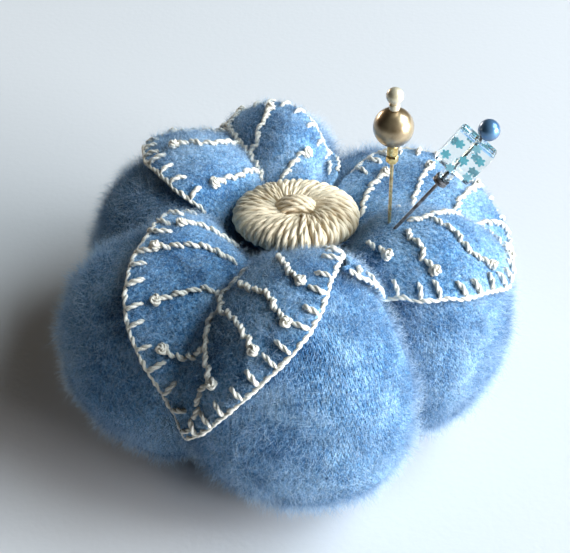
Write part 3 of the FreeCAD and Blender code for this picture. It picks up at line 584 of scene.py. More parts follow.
class Leaf:
    """A leaf's closed outline about its heart, and the felt's surface over it."""

    def __init__(self, name, middle, bridge, curl, outline, base, veins, knots):
        self.name, self.middle, self.bridge, self.curl = name, middle, bridge, curl
        self.veins, self.knots = veins, knots
        tip = int(np.argmax([s for _, s in outline]))
        outer = np.concatenate([curve_through(outline[:tip + 1], 10), curve_through(outline[tip:], 10)[1:]])
        corners = [outline[-1], *base[::-1], outline[0]]
        back = [np.linspace(a, b, 14, endpoint=False) for a, b in zip(corners, corners[1:])]
        self.edge_length = len(outer)
        outer = LEAF_HEART + (outer - LEAF_HEART) * CUT_IN
        self.rim = np.concatenate([outer, np.concatenate(back)[1:]])
        offset = (self.rim - LEAF_HEART) * (1, DEGREES_PER_PLACE)
        angle, reach = np.arctan2(offset[:, 1], offset[:, 0]), np.hypot(*offset.T)
        order = np.argsort(angle)
        self.rim_angle, self.rim_reach = angle[order], reach[order]

    def share(self, d, s):
        """How far out a place is: 0 at the heart, 1 at the rim."""
        x, y = d - LEAF_HEART[0], (s - LEAF_HEART[1]) * DEGREES_PER_PLACE
        reach = np.interp(np.arctan2(y, x), self.rim_angle, self.rim_reach, period=2 * np.pi)
        return np.hypot(x, y) / reach

    def at(self, d, s, height=0.0):
        """Points on the felt: height 0 is the upper face and -FELT the lower. The outer part curls up,
        unevenly, and the whole follows the cushion's lumps."""
        d, s, height = np.broadcast_arrays(*(np.asarray(v, float) for v in (d, s, height)))
        out = np.clip((self.share(d, s) - CURL_FROM) / (1 - CURL_FROM), 0, 1.2)
        open_side = np.clip((s + 0.95) / 0.3, 0, 1)
        wave = 1 + 0.45 * np.sin(np.radians(d) * 9 + self.middle) + 0.25 * np.sin(np.radians(d) * 17 + 2)
        lift = NAP_DEPTH + GAP + FELT + height + self.curl * out ** 2 * open_side * wave
        bridge = np.interp(s, [-1, BRIDGE_END], [BRIDGE_IN, self.bridge])
        base = over_cushion(self.middle + d, s, 0.0, bridge)
        raised = over_cushion(self.middle + d, s, 1.0, bridge)
        return base + (raised - base) * lift[..., None] + from_grid(cover_drift, self.middle + d, s)


leaves = {name: Leaf(name, **facts) for name, facts in LEAVES.items()}


# %% Felt
def leaf_felt(leaf):
    """The closed slab of felt. Its rings go out over the upper face, round the rim and in underneath."""
    rim = leaf.rim
    rim3 = leaf.at(rim[:, 0], rim[:, 1])
    reach_mm = np.linalg.norm(rim3 - leaf.at(*LEAF_HEART), axis=-1)
    shares = np.sin(np.linspace(0, np.pi / 2, 34))[1:]
    bend = np.linspace(0, np.pi, 9)[1:-1]
    rings = [(share, 0.0, 0.0) for share in shares]
    rings += [(1.0, np.sin(a) * FELT / 2, (np.cos(a) - 1) * FELT / 2) for a in bend]
    rings += [(share, 0.0, -FELT) for share in shares[::-2]]
    verts, uvs = [leaf.at(*LEAF_HEART)[None]], [LEAF_HEART[None] * CLOTH_MM]
    for share, outward_mm, height in rings:
        spot = LEAF_HEART + (rim - LEAF_HEART) * (share + outward_mm / reach_mm)[:, None]
        verts.append(leaf.at(spot[:, 0], spot[:, 1], height))
        uvs.append(spot * CLOTH_MM)
    verts.append(leaf.at(*LEAF_HEART, -FELT)[None])
    uvs.append(LEAF_HEART[None] * CLOTH_MM)
    n = len(rim)
    j = np.arange(n)
    quads = grid_quads(len(rings), n, close_columns=True, offset=1)
    tail = 1 + (len(rings) - 1) * n
    fans = np.concatenate([np.stack([np.zeros(n, int), 1 + j, 1 + (j + 1) % n], -1),
                           np.stack([tail + (j + 1) % n, tail + j, np.full(n, tail + n)], -1)])
    leaf.upper = np.stack(verts[1:len(shares) + 1])
    piece = make_piece(leaf.name + "_felt_leaf", np.concatenate(verts), quads, leaf_wool, fans,
                       np.concatenate(uvs))
    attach(piece, "cushion")
    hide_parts(leaf.name + "_leaf")
    return piece


felt = {name: leaf_felt(leaf) for name, leaf in leaves.items()}
print("leaf points:", {name: len(piece.data.vertices) for name, piece in felt.items()})

# %% [markdown]
# ## Embroidery on the leaves
#
# Three stitches are used. Blanket stitch binds the rim: a cord runs along the edge and short arms point
# inwards, where the needle went down. Stem stitch draws the veins, as short stitches that slant a little
# and overlap. A French knot, the thread wound twice round the needle, ends most veins.


# %% Finding directions on a leaf
def directions(leaf, place, ahead):
    """On the leaf at a place, given a step ahead in degrees and s: the step that is one millimetre ahead
    on the felt and the one that is one millimetre square to it, to its left."""
    here, small_d, small_s = leaf.at(*place), 0.5, 0.005
    by_d = (leaf.at(place[0] + small_d, place[1]) - here) / small_d
    by_s = (leaf.at(place[0], place[1] + small_s) - here) / small_s
    g = np.array([[by_d @ by_d, by_d @ by_s], [by_d @ by_s, by_s @ by_s]])
    lowered = g @ ahead
    square = np.array([-lowered[1], lowered[0]])
    return ahead / math.sqrt(ahead @ lowered), square / math.sqrt(square @ g @ square)


def stitch(leaf, place, step, length, slant, low, high):
    """A short stitch centred on a place: its path and its outward directions. It comes up out of the felt,
    arches to high and goes down to low again."""
    ahead, left = directions(leaf, place, step)
    way = ahead * math.cos(slant) + left * math.sin(slant)
    t = np.linspace(-0.5, 0.5, 13)
    spots = np.asarray(place) + way * (t * length)[:, None]
    height = low + (high - low) * np.sqrt(np.clip(1 - (2 * t) ** 2, 0, 1))
    path = leaf.at(spots[:, 0], spots[:, 1], height)
    return path, unit(leaf.at(spots[:, 0], spots[:, 1], height + 1.0) - path)


def grain(path):
    """Radius along a stitch as a share of its fullest: a grain of rice, 0.55 at the ends."""
    t = np.linspace(-1, 1, len(path))
    return 0.55 + 0.45 * np.sqrt(1 - t ** 2)


# %% Blanket stitch, stem stitch and French knots
EDGE_R, ARM_R, VEIN_R, KNOT_THREAD_R = 0.52, 0.56, 0.58, 0.48
ARM_PITCH, STITCH_PITCH = 4.3, 2.75


def blanket_stitch(leaf):
    """The rim cord, pulled in a little where each arm starts, and the arms, fullest in the middle."""
    rim = leaf.rim[:leaf.edge_length]
    line = leaf.at(rim[:, 0], rim[:, 1])
    run = run_length(line)
    fine = np.arange(0, run[-1], 0.22)
    spots = np.stack([np.interp(fine, run, rim[:, i]) for i in (0, 1)], -1)
    between = np.abs(np.sin(np.pi * fine / ARM_PITCH))
    edge = leaf.at(spots[:, 0], spots[:, 1], -FELT / 2)
    out = unit(edge - leaf.at(*(LEAF_HEART + (spots - LEAF_HEART) * 0.97).T, -FELT / 2))
    up = unit(leaf.at(spots[:, 0], spots[:, 1], 0.0) - edge)
    path = edge + out * (0.45 + 0.15 * between)[:, None] + up * (0.6 - 0.25 * between)[:, None]
    paths, outwards = [path], [unit(out + up)]
    radii = [EDGE_R * (1.1 - 0.25 * between + 0.12 * np.sin(fine * 0.9))]
    for mm in np.arange(ARM_PITCH / 2, run[-1], ARM_PITCH):
        mm += rng.uniform(-0.6, 0.6)
        place = np.array([np.interp(mm, run, rim[:, i]) for i in (0, 1)])
        ahead = np.array([np.interp(mm + 0.5, run, rim[:, i]) for i in (0, 1)]) - place
        length = rng.uniform(2.9, 4.0)
        _, left = directions(leaf, place, ahead)
        inward = left if leaf.share(*(place + left)) < leaf.share(*place) else -left
        centre = place + inward * (length / 2 - 0.3)
        arm, arm_out = stitch(leaf, centre, inward, length, rng.normal(0, 0.16), -0.2, 0.5)
        paths.append(arm)
        outwards.append(arm_out)
        radii.append(ARM_R * rng.uniform(0.85, 1.1) * grain(arm))
    return twisted_cords(leaf.name + "_blanket_stitch", paths, outwards, radii, white_cotton, pitch=3.2,
                         apart=0.4)


def stem_stitch(leaf):
    """Veins: plump stitches end to end, all slanting the same way across the line."""
    paths, outwards, radii = [], [], []
    for route in leaf.veins:
        line = curve_through(route, 10)
        run = run_length(leaf.at(line[:, 0], line[:, 1]))
        count = max(int(round(run[-1] / STITCH_PITCH)), 1)
        for k in range(count):
            mm = (k + 0.5) * run[-1] / count
            place = np.array([np.interp(mm, run, line[:, i]) for i in (0, 1)])
            ahead = np.array([np.interp(mm + 0.4, run, line[:, i]) - np.interp(mm - 0.4, run, line[:, i])
                              for i in (0, 1)])
            path, out = stitch(leaf, place, ahead, run[-1] / count * rng.uniform(0.98, 1.12),
                               0.3 + rng.normal(0, 0.1), -0.3, 0.55)
            paths.append(path)
            outwards.append(out)
            radii.append(VEIN_R * rng.uniform(0.85, 1.1) * grain(path))
    return twisted_cords(leaf.name + "_stem_stitch", paths, outwards, radii, white_cotton, pitch=3.0,
                         apart=0.4)


def french_knots(leaf):
    """Each knot is one cord: two turns of a coil that closes in as it rises, then across the top and down."""
    paths, outwards = [], []
    for place in leaf.knots:
        place = np.asarray(place, float)
        ahead, left = directions(leaf, place, np.array([1.0, 0.0]))
        turn = np.linspace(0, 2.3, 40)
        reach = 0.82 - 0.13 * turn
        angle = 2 * np.pi * turn + rng.uniform(0, 6)
        reach = np.concatenate([reach, np.linspace(reach[-1], 0.0, 7)[1:]])
        angle = np.concatenate([angle, angle[-1] + np.linspace(0.3, 1.2, 6)])
        height = np.concatenate([0.2 + 0.42 * turn, [1.27, 1.29, 1.24, 1.05, 0.75, 0.4]])
        spots = place + reach[:, None] * (np.cos(angle)[:, None] * ahead + np.sin(angle)[:, None] * left)
        path = leaf.at(spots[:, 0], spots[:, 1], height)
        paths.append(path)
        outwards.append(unit(leaf.at(spots[:, 0], spots[:, 1], height + 1.0) - path))
    return twisted_cords(leaf.name + "_french_knots", paths, outwards, KNOT_THREAD_R, white_cotton, pitch=2.2)


embroidery = {name: [] for name in leaves}
for name, leaf in leaves.items():
    for work, node in ((blanket_stitch, "edging"), (stem_stitch, "veins"), (french_knots, "knots")):
        piece = work(leaf)
        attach(piece, "cushion")
        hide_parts(name + "_leaf_" + node)
        embroidery[name].append(piece)
        print(piece.name, len(piece.data.polygons), "faces")

# %% [markdown]
# ## Nap
#
# Fulled wool is covered with loose fibres, and against the light they make a soft glow round every edge.
# A bump in the material can't leave the surface, so the fibres are real: thin spikes with three sides,
# each a few faces only. A third of those on a segment and half of those on a leaf are short and thicker
# and lean well over; the others are longer and finer and lean less. Half of their shader lets light
# through from behind, which gives the glow.
# Their colour is painted darker at the root and paler towards the tip: painted shade down in the nap and
# painted light at its surface.


# %% Fibres
THREE_SIDES = (0.0, 2.0944, 4.1888)      # directions of a fibre's three edges, in radians


def scatter(grid, count, weight):
    """Roots spread over a grid of points, and their normals, which are the first side crossed with the
    second: a cell is picked by its area times its weight, and a spot inside it is even along both sides."""
    a, b, c, d = grid[:-1, :-1], grid[1:, :-1], grid[1:, 1:], grid[:-1, 1:]
    square = np.cross(c - a, d - b)
    chance = np.linalg.norm(square, axis=-1) * weight
    i, j = np.unravel_index(rng.choice(chance.size, count, p=(chance / chance.sum()).ravel()), chance.shape)
    f, g = rng.uniform(size=(2, count, 1))
    near, far = a[i, j] * (1 - f) + b[i, j] * f, d[i, j] * (1 - f) + c[i, j] * f
    return near * (1 - g) + far * g, unit(square[i, j])


def fibre_batch(roots, normals, length, lean, thick, rings):
    """Closed spikes. A fibre leans by an angle from the normal towards a random side, its middle line
    is the root plus length x (t x axis + curl x t squared x sideways), and its radius falls from thick to
    a third before the tip. Gives the points, the index of each fibre's faces, and t with a random tone."""
    n = len(roots)
    turn = rng.uniform(0, 2 * np.pi, (n, 1))
    helper = unit(np.cross(normals, (0.31, 0.52, 0.8)))
    flat = helper * np.cos(turn) + np.cross(normals, helper) * np.sin(turn)
    axis = normals * np.cos(lean)[:, None] + flat * np.sin(lean)[:, None]
    aside = np.cross(normals, flat)
    across = np.cross(axis, aside)
    curl = rng.normal(0, 0.6, (n, 1))
    t = np.append(np.arange(rings) / rings, 1.0)
    middle = [roots - 0.12 * normals + length[:, None] * (k * axis + curl * k * k * aside) for k in t]
    points = [middle[i] + thick * (1 - 0.67 * t[i]) * (np.cos(w) * aside + np.sin(w) * across)
              for i in range(rings) for w in THREE_SIDES] + [middle[-1]]
    points = np.stack(points, 1)
    points[..., 2] = np.abs(points[..., 2])
    size, top = 3 * rings + 1, 3 * rings - 3
    start = (np.arange(n) * size)[:, None, None]
    quads = grid_quads(rings, 3, close_columns=True)[None] if rings > 1 else np.zeros((1, 0, 4), int)
    tris = np.array([[2, 1, 0], *([top + i, top + (i + 1) % 3, top + 3] for i in range(3))])
    tone = np.broadcast_to(rng.uniform(size=(n, 1)), (n, size))
    marks = np.stack([np.broadcast_to(np.append(np.repeat(t[:-1], 3), 1.0), (n, size)), tone], -1)
    return (points.reshape(-1, 3), (quads[..., ::-1] + start).reshape(-1, 4),
            (tris[None] + start).reshape(-1, 3), marks.reshape(-1, 2))


def make_nap(name, grid, weight, short, long, reach):
    """One piece of nap over a grid: so many short and so many long fibres; reach is the length of the
    long ones, which grows and shrinks in patches."""
    batches = []
    # Number, lengths and radius in millimetres, leans in radians, and rings of points below the tip.
    for count, lengths, leans, thick, rings in ((short, (0.5, 1.4), (0.75, 1.4), 0.045, 1),
                                                (long, (0.35 * reach, reach), (0.0, 1.1), 0.026, 2)):
        roots, normals = scatter(grid, count, weight)
        patchy = 1 + 0.35 * soft_noise(roots, 8.0, 11)
        batches.append(fibre_batch(roots, normals, rng.uniform(*lengths, count) * patchy,
                                   rng.uniform(*leans, count), thick, rings))
    shifts = (0, len(batches[0][0]), len(batches[0][0]), 0)
    points, quads, tris, marks = (np.concatenate([first, second + shift])
                                  for first, second, shift in zip(*batches, shifts))
    piece = make_piece(name, points, quads, nap_wool, tris, marks)
    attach(piece, "cushion")
    return piece


# %% Nap material
nap_wool, tree, shader, add = start_material("loose wool", 0.8)
where = add("ShaderNodeTexCoord")
clouds = add("ShaderNodeTexNoise", {"Vector": where.outputs["Object"]}, Scale=95.0, Detail=5.0,
             Roughness=0.62)
parts = add("ShaderNodeSeparateXYZ", {0: where.outputs["UV"]})
# Painted shade and light: the place along each fibre is added to its random tone, so the ramp below makes a
# fibre dark at the root and pale at the tip.
tone = add("ShaderNodeMath", {0: parts.outputs[0], 1: parts.outputs[1]}, operation="ADD")
both = add("ShaderNodeMix", {2: clouds.outputs["Fac"], 3: tone.outputs[0]}, data_type="FLOAT", Factor=0.45)
shades = ramp(add, both.outputs[0], [(0.35, (0.09, 0.23, 0.42)), (0.6, (0.34, 0.55, 0.76)),
                                     (0.95, (0.76, 0.87, 0.95))])
tree.links.new(shades.outputs[0], shader.inputs["Base Color"])
shader.inputs["Specular IOR Level"].default_value = 0.3
through = add("ShaderNodeBsdfTranslucent", {"Color": shades.outputs[0]})
lit = add("ShaderNodeMixShader", {1: shader.outputs[0], 2: through.outputs[0]})
lit.inputs[0].default_value = 0.5
tree.links.new(lit.outputs[0], tree.nodes["Material Output"].inputs["Surface"])

# %% Nap on the segments and leaves
SEGMENT_NAP, LEAF_NAP = (8000, 15500, 3.8), (8000, 8000, 2.2)      # short, long, reach in millimetres
wrapped = np.concatenate([cover_points, cover_points[:1]])
mid_degrees = np.append(cover_degrees, cover_degrees[0] + 360)
mid_degrees = ((mid_degrees[1:] + mid_degrees[:-1]) / 2)[:, None]
mid_s = ((cover_s[1:] + cover_s[:-1]) / 2)[None, :]
bare = (mid_s < -0.97) | (wrapped[:-1, :-1, 2] < 0.4)
for leaf in leaves.values():
    bare = bare | (leaf.share((mid_degrees - leaf.middle + 180) % 360 - 180, mid_s) < 0.97)
cover_weight = np.where(bare, 0.0, np.where(mid_s > 0.45, 0.35, 1.0))
for k in range(6):
    first, last = k * PER_SEGMENT, (k + 1) * PER_SEGMENT
    make_nap(f"nap_{k + 1}", wrapped[first:last + 1].swapaxes(0, 1), cover_weight[first:last].T,
             *SEGMENT_NAP)
for name, leaf in leaves.items():
    upper = np.concatenate([leaf.upper, leaf.upper[:, :1]], 1)
    even = np.ones((len(upper) - 1, upper.shape[1] - 1))
    fluff = make_nap(name + "_leaf_nap", upper, even, *LEAF_NAP)
    side_mm = run_length(leaf.at(*np.linspace(leaf.rim[0], leaf.rim[leaf.edge_length - 1], 80).T))[-1]
    tip = leaf.rim[leaf.rim[:, 1].argmax()]
    tip_mm = run_length(leaf.at(tip[0], np.linspace(LEAF_START, tip[1], 80)))[-1]

# %% [markdown]
# ## Ties
#
# Strong blue thread goes down through the middle and comes up round the outside, once in each groove,
# and is pulled tight. It almost sinks into the wool. Underneath it ends in a knot.

# %% Ties in the grooves
TIE_R, TIE_LIFT = 0.45, 0.1
TIE_FROM, TIE_TO = -1.2, 0.97             # places along the loop where a tie comes out and goes in
tie_paths, tie_outs = [], []
for groove in GROOVES:
    line = over_cushion(groove, np.linspace(TIE_FROM, TIE_TO, 160))
    path = resample(line, 0.35)
    middle_axis = path * (1, 1, 0)
    out = unit(np.cross(np.gradient(path, axis=0), np.cross(unit(middle_axis), (0, 0, 1.0))))
    out = out * np.sign((out * (path - np.array([0, 0, GROOVE_MID]))).sum(-1, keepdims=True))
    tie_paths.append(path + out * (TIE_R + TIE_LIFT))
    tie_outs.append(out)
ties = twisted_cords("groove_ties", tie_paths, tie_outs, TIE_R, blue_cotton, pitch=2.6, sides=5)
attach(ties, "cushion")
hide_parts("segment_ties")

# %% [markdown]
# ## Button
#
# A ring of wood is wrapped all round with cream cotton, in two layers: the strands lie side by side on
# the outside and crowd over each other in the hole. A last bundle of turns fills the hole.

# %% Wrapped button
BUTTON_Z, BUTTON_LEAN = 43.3, math.radians(-10)
RING_R, RING_W, RING_H = 7.4, 5.4, 3.2
UNDER_STRANDS, TOP_STRANDS = 64, 50


def on_button(points):
    """From the button's own axes to the cushion's: leaned back about X and set in the dimple."""
    c, s = math.cos(BUTTON_LEAN), math.sin(BUTTON_LEAN)
    x, y, z = points[..., 0], points[..., 1], points[..., 2]
    return np.stack([x, y * c - z * s, y * s + z * c + BUTTON_Z], -1)


strand_paths, strand_outs, strand_radii = [], [], []
around_ring = np.linspace(0, 2 * np.pi, 50)[:-1] + np.radians(-110)
for layer, count in ((0, UNDER_STRANDS), (1, TOP_STRANDS)):
    for k in range(count):
        size = (0.5, rng.uniform(0.5, 0.74))[layer]
        bearing = 2 * np.pi * (k + layer * rng.uniform(-0.25, 0.25)) / count
        inside = (1 - np.cos(around_ring)) / 2
        lift = -size * 0.95 - (1 - layer) * 0.45 + inside * rng.uniform(-0.25, 0.35) * layer
        r = RING_R + (RING_W + lift) * np.cos(around_ring)
        z = (RING_H + lift) * np.sin(around_ring)
        swirl, wander = rng.normal(0.25, 0.06), rng.normal(0, 0.012)
        angle = bearing + layer * (swirl * inside ** 2 + wander * np.sin(2 * around_ring))
        path = np.stack([r * np.cos(angle), r * np.sin(angle), z], -1)
        out = np.stack([np.cos(around_ring) * np.cos(angle), np.cos(around_ring) * np.sin(angle),
                        np.sin(around_ring)], -1)
        strand_paths.append(on_button(path))
        strand_outs.append(on_button(path + out) - on_button(path))
        strand_radii.append(size * (0.5 + 0.55 * np.clip((r - 2.0) / 9.0, 0, 1)))
wrap = twisted_cords("button_strands", strand_paths, strand_outs, strand_radii, cream_cotton, pitch=6.5,
                     apart=0.36)
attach(wrap, "cushion")
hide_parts("button_wrap")

bar_paths, bar_outs = [], []
BUNDLE_HALF = 4.3             # the bundle reaches this far to each side
BUNDLE_ROWS = ((8, 2.7, 2.9), (7, 3.5, 2.3), (5, 4.0, 1.5), (3, 4.3, 0.7))     # strands, height, half width
x = np.linspace(-BUNDLE_HALF, BUNDLE_HALF, 40)
bulge = np.sqrt(np.clip(1 - (x / (BUNDLE_HALF + 0.2)) ** 2, 0, 1))
for rows_up, high, half in BUNDLE_ROWS:
    for y in np.linspace(-half, half, rows_up):
        lean = rng.normal(0.0, 0.03)
        dip = 0.6 * (y / 2.6) ** 2
        path = np.stack([x, y * (0.5 + 0.5 * bulge) + lean * x, (high - dip) * bulge - 0.3], -1)
        bar_paths.append(on_button(path))
        bar_outs.append(on_button(path + (0.0, y * 0.3, 1.0)) - on_button(path))
t = np.linspace(-1, 1, 30)
last_turn = np.stack([0.2 + 3.2 * t, -2.5 + 0.5 * t, 2.3 + 0.9 * (1 - t ** 2)], -1)
bar_paths.append(on_button(last_turn))
bar_outs.append(on_button(last_turn + (0.0, -0.7, 0.7)) - on_button(last_turn))
bar = twisted_cords("button_bar_strands", bar_paths, bar_outs, 0.5, cream_cotton, pitch=4.5, apart=0.36)
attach(bar, "cushion")
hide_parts("button_bar")
print("button strands:", len(wrap.data.polygons), "faces")

# %% [markdown]
# ## Pins and beads
#
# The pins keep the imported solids, because their fits matter. Each gets the finish of the real material:
# drawn wire, gilt and oxidised crimps, glass pearls with a lacquer coat, and clear glass.


# %% Finishes for wire, beads and pearls
def metal(name, color, roughness, worn):
    """Metal with fine drawn streaks along Z, cloudy roughness and a worn tint in the clouds."""
    material, tree, shader, add = start_material(name, roughness, color)
    where = add("ShaderNodeTexCoord")
    streaks = add("ShaderNodeMapping", {"Vector": where.outputs["Object"]})
    streaks.inputs["Scale"].default_value = (9000.0, 9000.0, 500.0)
    drawn = add("ShaderNodeTexNoise", {"Vector": streaks.outputs[0]}, Scale=1.0, Detail=3.0)
    clouds = add("ShaderNodeTexNoise", {"Vector": where.outputs["Object"]}, Scale=900.0, Detail=3.0)
    tint = ramp(add, clouds.outputs["Fac"], [(0.35, worn), (0.6, color)])
    rough = ramp(add, clouds.outputs["Fac"], [(0.3, (roughness + 0.2,) * 3), (0.65, (roughness,) * 3)])
    tree.links.new(tint.outputs[0], shader.inputs["Base Color"])
    tree.links.new(rough.outputs[0], shader.inputs["Roughness"])
    bump(add, tree, shader, drawn.outputs["Fac"], 0.00002, 0.5)
    shader.inputs["Metallic"].default_value = 1.0
    return material


def pearl_glass(name, deep, glow, metallic):
    """Glass pearl: layers of lacquer over glass, as a soft metallic body under a clear coat, with faint
    clouds."""
    material, tree, shader, add = start_material(name, 0.34, deep)
    where = add("ShaderNodeTexCoord")
    clouds = add("ShaderNodeTexNoise", {"Vector": where.outputs["Object"]}, Scale=420.0, Detail=4.0)
    tint = ramp(add, clouds.outputs["Fac"], [(0.35, deep), (0.65, glow)])
    tree.links.new(tint.outputs[0], shader.inputs["Base Color"])
    grain = add("ShaderNodeTexNoise", {"Vector": where.outputs["Object"]}, Scale=5200.0, Detail=2.0)
    bump(add, tree, shader, grain.outputs["Fac"], 0.00002, 0.35)
    shader.inputs["Metallic"].default_value = metallic
    shader.inputs["Coat Weight"].default_value = 1.0
    shader.inputs["Coat Roughness"].default_value = 0.07
    shader.inputs["Thin Film Thickness"].default_value = 380.0
    shader.inputs["Thin Film IOR"].default_value = 1.35
    return material


def clear_glass(name, color, roughness=0.04):
    """Clear glass with a slight tint and the soft waves of a fire-polished surface."""
    material, tree, shader, add = start_material(name, roughness, color)
    where = add("ShaderNodeTexCoord")
    waves = add("ShaderNodeTexNoise", {"Vector": where.outputs["Object"]}, Scale=330.0, Detail=2.0)
    specks = add("ShaderNodeTexNoise", {"Vector": where.outputs["Object"]}, Scale=2600.0, Detail=2.0)
    rough = ramp(add, specks.outputs["Fac"], [(0.5, (roughness,) * 3), (0.75, (roughness + 0.18,) * 3)])
    tree.links.new(rough.outputs[0], shader.inputs["Roughness"])
    bump(add, tree, shader, waves.outputs["Fac"], 0.00006, 0.6)
    shader.inputs["Transmission Weight"].default_value = 1.0
    shader.inputs["IOR"].default_value = 1.5
    return material


def plain_finish(name, color, second, scale, roughness=0.7):
    """A mottled finish for what lies hidden: fibre filling and turned wood."""
    material, tree, shader, add = start_material(name, roughness, color)
    where = add("ShaderNodeTexCoord")
    mottle = add("ShaderNodeTexNoise", {"Vector": where.outputs["Object"]}, Scale=scale, Detail=5.0)
    tint = ramp(add, mottle.outputs["Fac"], [(0.35, second), (0.65, color)])
    tree.links.new(tint.outputs[0], shader.inputs["Base Color"])
    bump(add, tree, shader, mottle.outputs["Fac"], 0.0001)
    return material


brass_wire = metal("brass wire", (0.72, 0.56, 0.30), 0.24, (0.42, 0.30, 0.15))
gilt = metal("gilt", (0.86, 0.66, 0.30), 0.22, (0.50, 0.34, 0.12))
steel_wire = metal("steel wire", (0.32, 0.31, 0.31), 0.26, (0.12, 0.11, 0.11))
oxidised = metal("oxidised silver", (0.34, 0.33, 0.33), 0.3, (0.10, 0.09, 0.09))
bronze_pearl = pearl_glass("bronze pearl", (0.27, 0.19, 0.10), (0.50, 0.38, 0.22), 0.75)
cream_pearl = pearl_glass("cream pearl", (0.64, 0.54, 0.34), (0.84, 0.76, 0.57), 0.35)
blue_pearl = pearl_glass("blue pearl", (0.05, 0.13, 0.25), (0.13, 0.26, 0.42), 0.45)
seed_glass = clear_glass("seed bead glass", (0.70, 0.78, 0.84))
tile_glass = clear_glass("tile glass", (0.90, 0.97, 0.98))
wood = plain_finish("turned wood", (0.50, 0.36, 0.20), (0.34, 0.22, 0.11), 600.0)

FINISHES = {"pearl_pin_shaft": brass_wire, "pearl_pin_crimp": gilt, "pearl_pin_spacer": gilt,
            "pearl_pin_pearl": bronze_pearl, "pearl_pin_collar": cream_pearl, "pearl_pin_cap": cream_pearl,
            "tile_pin_shaft": steel_wire, "tile_pin_crimp": oxidised, "tile_pin_seed_bead": seed_glass,
            "tile_pin_tile": tile_glass, "tile_pin_cap": blue_pearl, "button_mould": wood,
            "centre_tie": blue_cotton, "base_knot": blue_cotton}
for node, finish in FINISHES.items():
    mesh = bpy.data.objects[node].data
    mesh.materials.clear()
    mesh.materials.append(finish)

# %% [markdown]
# ## Printed flowers
#
# The square bead is clear, with small turquoise flowers fired onto its two broad faces, so those at the
# back show through it. Each flower is a disc of enamel with six scalloped petals, a few hundredths of a
# millimetre proud.

# %% Flowers on the tile bead
TILE_LOW, TILE_SIDE, TILE_THICK = 15.9, 8.1, 3.6
TILE_TURN, TILE_LEAN = math.radians(-23), math.radians(33.8)
TILE_FOOT = np.array([19.6, -10.2, 49.6])
PROUD, EDGE_PROUD, SUNK = 0.03, 0.02, 0.02       # enamel over and under the glass, in millimetres


def on_tile(points):
    """From the tile's own axes to the cushion's: turned about the pin, leaned over and lifted to its foot."""
    x, y, z = points[..., 0], points[..., 1], points[..., 2]
    c, s = math.cos(TILE_TURN), math.sin(TILE_TURN)
    x, y = x * c - y * s, x * s + y * c
    c, s = math.cos(TILE_LEAN), math.sin(TILE_LEAN)
    return np.stack([x * c + z * s, y, z * c - x * s], -1) + TILE_FOOT


def flowers(name, centres, side, radius, finish):
    """Enamel flowers at centres, given as across and up from the face's middle, on the front (-1) or the
    back (1). Six petals: the edge swings between 0.55 and 1 of the radius."""
    verts, quads, tris, count = [], [], [], 0
    spokes = 48
    angle = np.arange(spokes) * 2 * np.pi / spokes
    for x, z in centres:
        petal = radius * (0.55 + 0.45 * np.abs(np.cos(3 * (angle + rng.uniform(0, 1)))))
        levels = [(0.5, PROUD), (1.0, EDGE_PROUD), (1.0, -SUNK)]
        for share, high in levels:
            verts.append(np.stack([x + petal * share * np.cos(angle),
                                   np.full(spokes, side * (TILE_THICK / 2 + high)),
                                   TILE_LOW + TILE_SIDE / 2 + z + petal * share * np.sin(angle)], -1))
        verts.append(np.array([[x, side * (TILE_THICK / 2 + PROUD), TILE_LOW + TILE_SIDE / 2 + z],
                               [x, side * (TILE_THICK / 2 - SUNK), TILE_LOW + TILE_SIDE / 2 + z]]))
        j, j1 = np.arange(spokes), (np.arange(spokes) + 1) % spokes
        hub = count + 3 * spokes
        faces = grid_quads(3, spokes, close_columns=True, offset=count)
        top = np.stack([np.full(spokes, hub), count + j, count + j1], -1)
        low = np.stack([np.full(spokes, hub + 1), count + 2 * spokes + j1, count + 2 * spokes + j], -1)
        flip = slice(None) if side < 0 else slice(None, None, -1)
        quads.append(faces[:, flip])
        tris.append(np.concatenate([top, low])[:, flip])
        count += 3 * spokes + 2
    piece = make_piece(name, on_tile(np.concatenate(verts)), np.concatenate(quads), finish,
                       np.concatenate(tris), smooth=False)
    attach(piece, "tile_bead")
    return piece


turquoise = plain_finish("turquoise enamel", (0.24, 0.74, 0.84), (0.18, 0.65, 0.76), 2400.0, 0.35)
pale_turquoise = plain_finish("pale turquoise enamel", (0.42, 0.84, 0.94), (0.35, 0.77, 0.90), 2400.0, 0.35)
flowers("flowers_dark", [(-2.3, 1.6), (-2.9, -1.7), (0.3, -0.4), (2.6, 1.5)], -1, 1.0, turquoise)
flowers("flowers_light", [(0.6, 3.0), (-0.6, -3.2), (2.9, -2.4)], -1, 0.95, pale_turquoise)
flowers("flowers_behind", [(-1.2, 2.9), (1.7, 0.6), (-3.0, 0.4), (0.2, -2.3), (3.1, -1.9)], 1, 0.95,
        pale_turquoise)
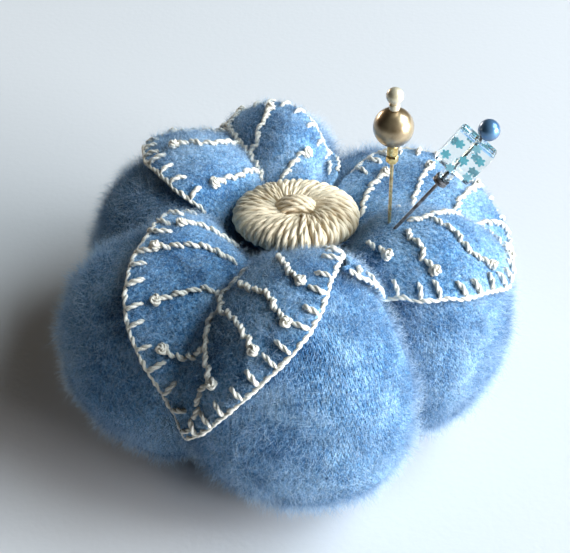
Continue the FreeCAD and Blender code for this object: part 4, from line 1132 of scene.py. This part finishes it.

# %% [markdown]
# ## Light and camera
#
# Daylight comes from the right, through a low window and a higher and bluer one, so the right edges glow
# and the shadow falls to the left. A weak warm lamp behind keeps the far left from going black. The
# lamps' places and powers began as the result of a fitting program, and were rounded and changed.
# The paper under the cushion is plain and pale.

# %% Paper, window and camera
paper, tree, shader, add = start_material("paper", 0.6, (0.66, 0.66, 0.66))
where = add("ShaderNodeTexCoord")
tooth = add("ShaderNodeTexNoise", {"Vector": where.outputs["Object"]}, Scale=700.0, Detail=3.0)
bump(add, tree, shader, tooth.outputs["Fac"], 0.00004)
PAPER_HALF = 1500.0
corners = [(x * PAPER_HALF, y * PAPER_HALF, 0) for x, y in ((-1, -1), (1, -1), (1, 1), (-1, 1))]
floor = make_piece("paper_sheet", corners, [(0, 1, 2, 3)], paper, smooth=False)


def window(name, place, towards, size, power, color):
    """An area light, so many metres wide and high, facing a point."""
    light = bpy.data.lights.new(name, "AREA")
    light.shape, light.energy, light.color = "RECTANGLE", power, color
    light.size, light.size_y = size
    lamp = bpy.data.objects.new(name, light)
    lamp.location = place
    heading = np.asarray(towards, float) - np.asarray(place, float)
    lamp.rotation_euler = (math.acos(-heading[2] / np.linalg.norm(heading)), 0.0,
                           math.atan2(heading[1], heading[0]) - math.pi / 2)
    bpy.context.scene.collection.objects.link(lamp)


window("window", (1.38, -0.50, 0.33), (0.0, 0.0, 0.02), (1.1, 0.6), 56.0, (0.91, 0.945, 1.0))
window("sky above it", (1.11, 0.06, 1.0), (0.0, 0.0, 0.02), (1.2, 0.9), 34.0, (0.79, 0.91, 1.0))
window("room behind", (-0.86, 1.22, 0.16), (0.0, 0.0, 0.02), (0.6, 0.3), 8.0, (1.0, 0.87, 0.70))
world = bpy.data.worlds.new("room light")
bpy.context.scene.world = world
world.use_nodes = True
world.node_tree.nodes["Background"].inputs["Color"].default_value = (1.0, 0.90, 0.78, 1)
world.node_tree.nodes["Background"].inputs["Strength"].default_value = 0.02
bpy.context.scene.view_settings.view_transform = "Standard"

# Height angle, distance and target of the camera are a fitting program's result, rounded.
ELEVATION, DISTANCE = math.radians(42.7), 0.268
TARGET = (np.array([-2.2, 7.1, 20.0]) + SHIFT) * MM
camera = bpy.data.cameras.new("camera")
camera.lens, camera.sensor_width = 77.75, 36.0
camera.clip_start = 0.01
eye = bpy.data.objects.new("camera", camera)
eye.location = TARGET + DISTANCE * np.array([0.0, -math.cos(ELEVATION), math.sin(ELEVATION)])
eye.rotation_euler = (math.pi / 2 - ELEVATION, 0.0, 0.0)
bpy.context.scene.collection.objects.link(eye)
bpy.context.scene.camera = eye
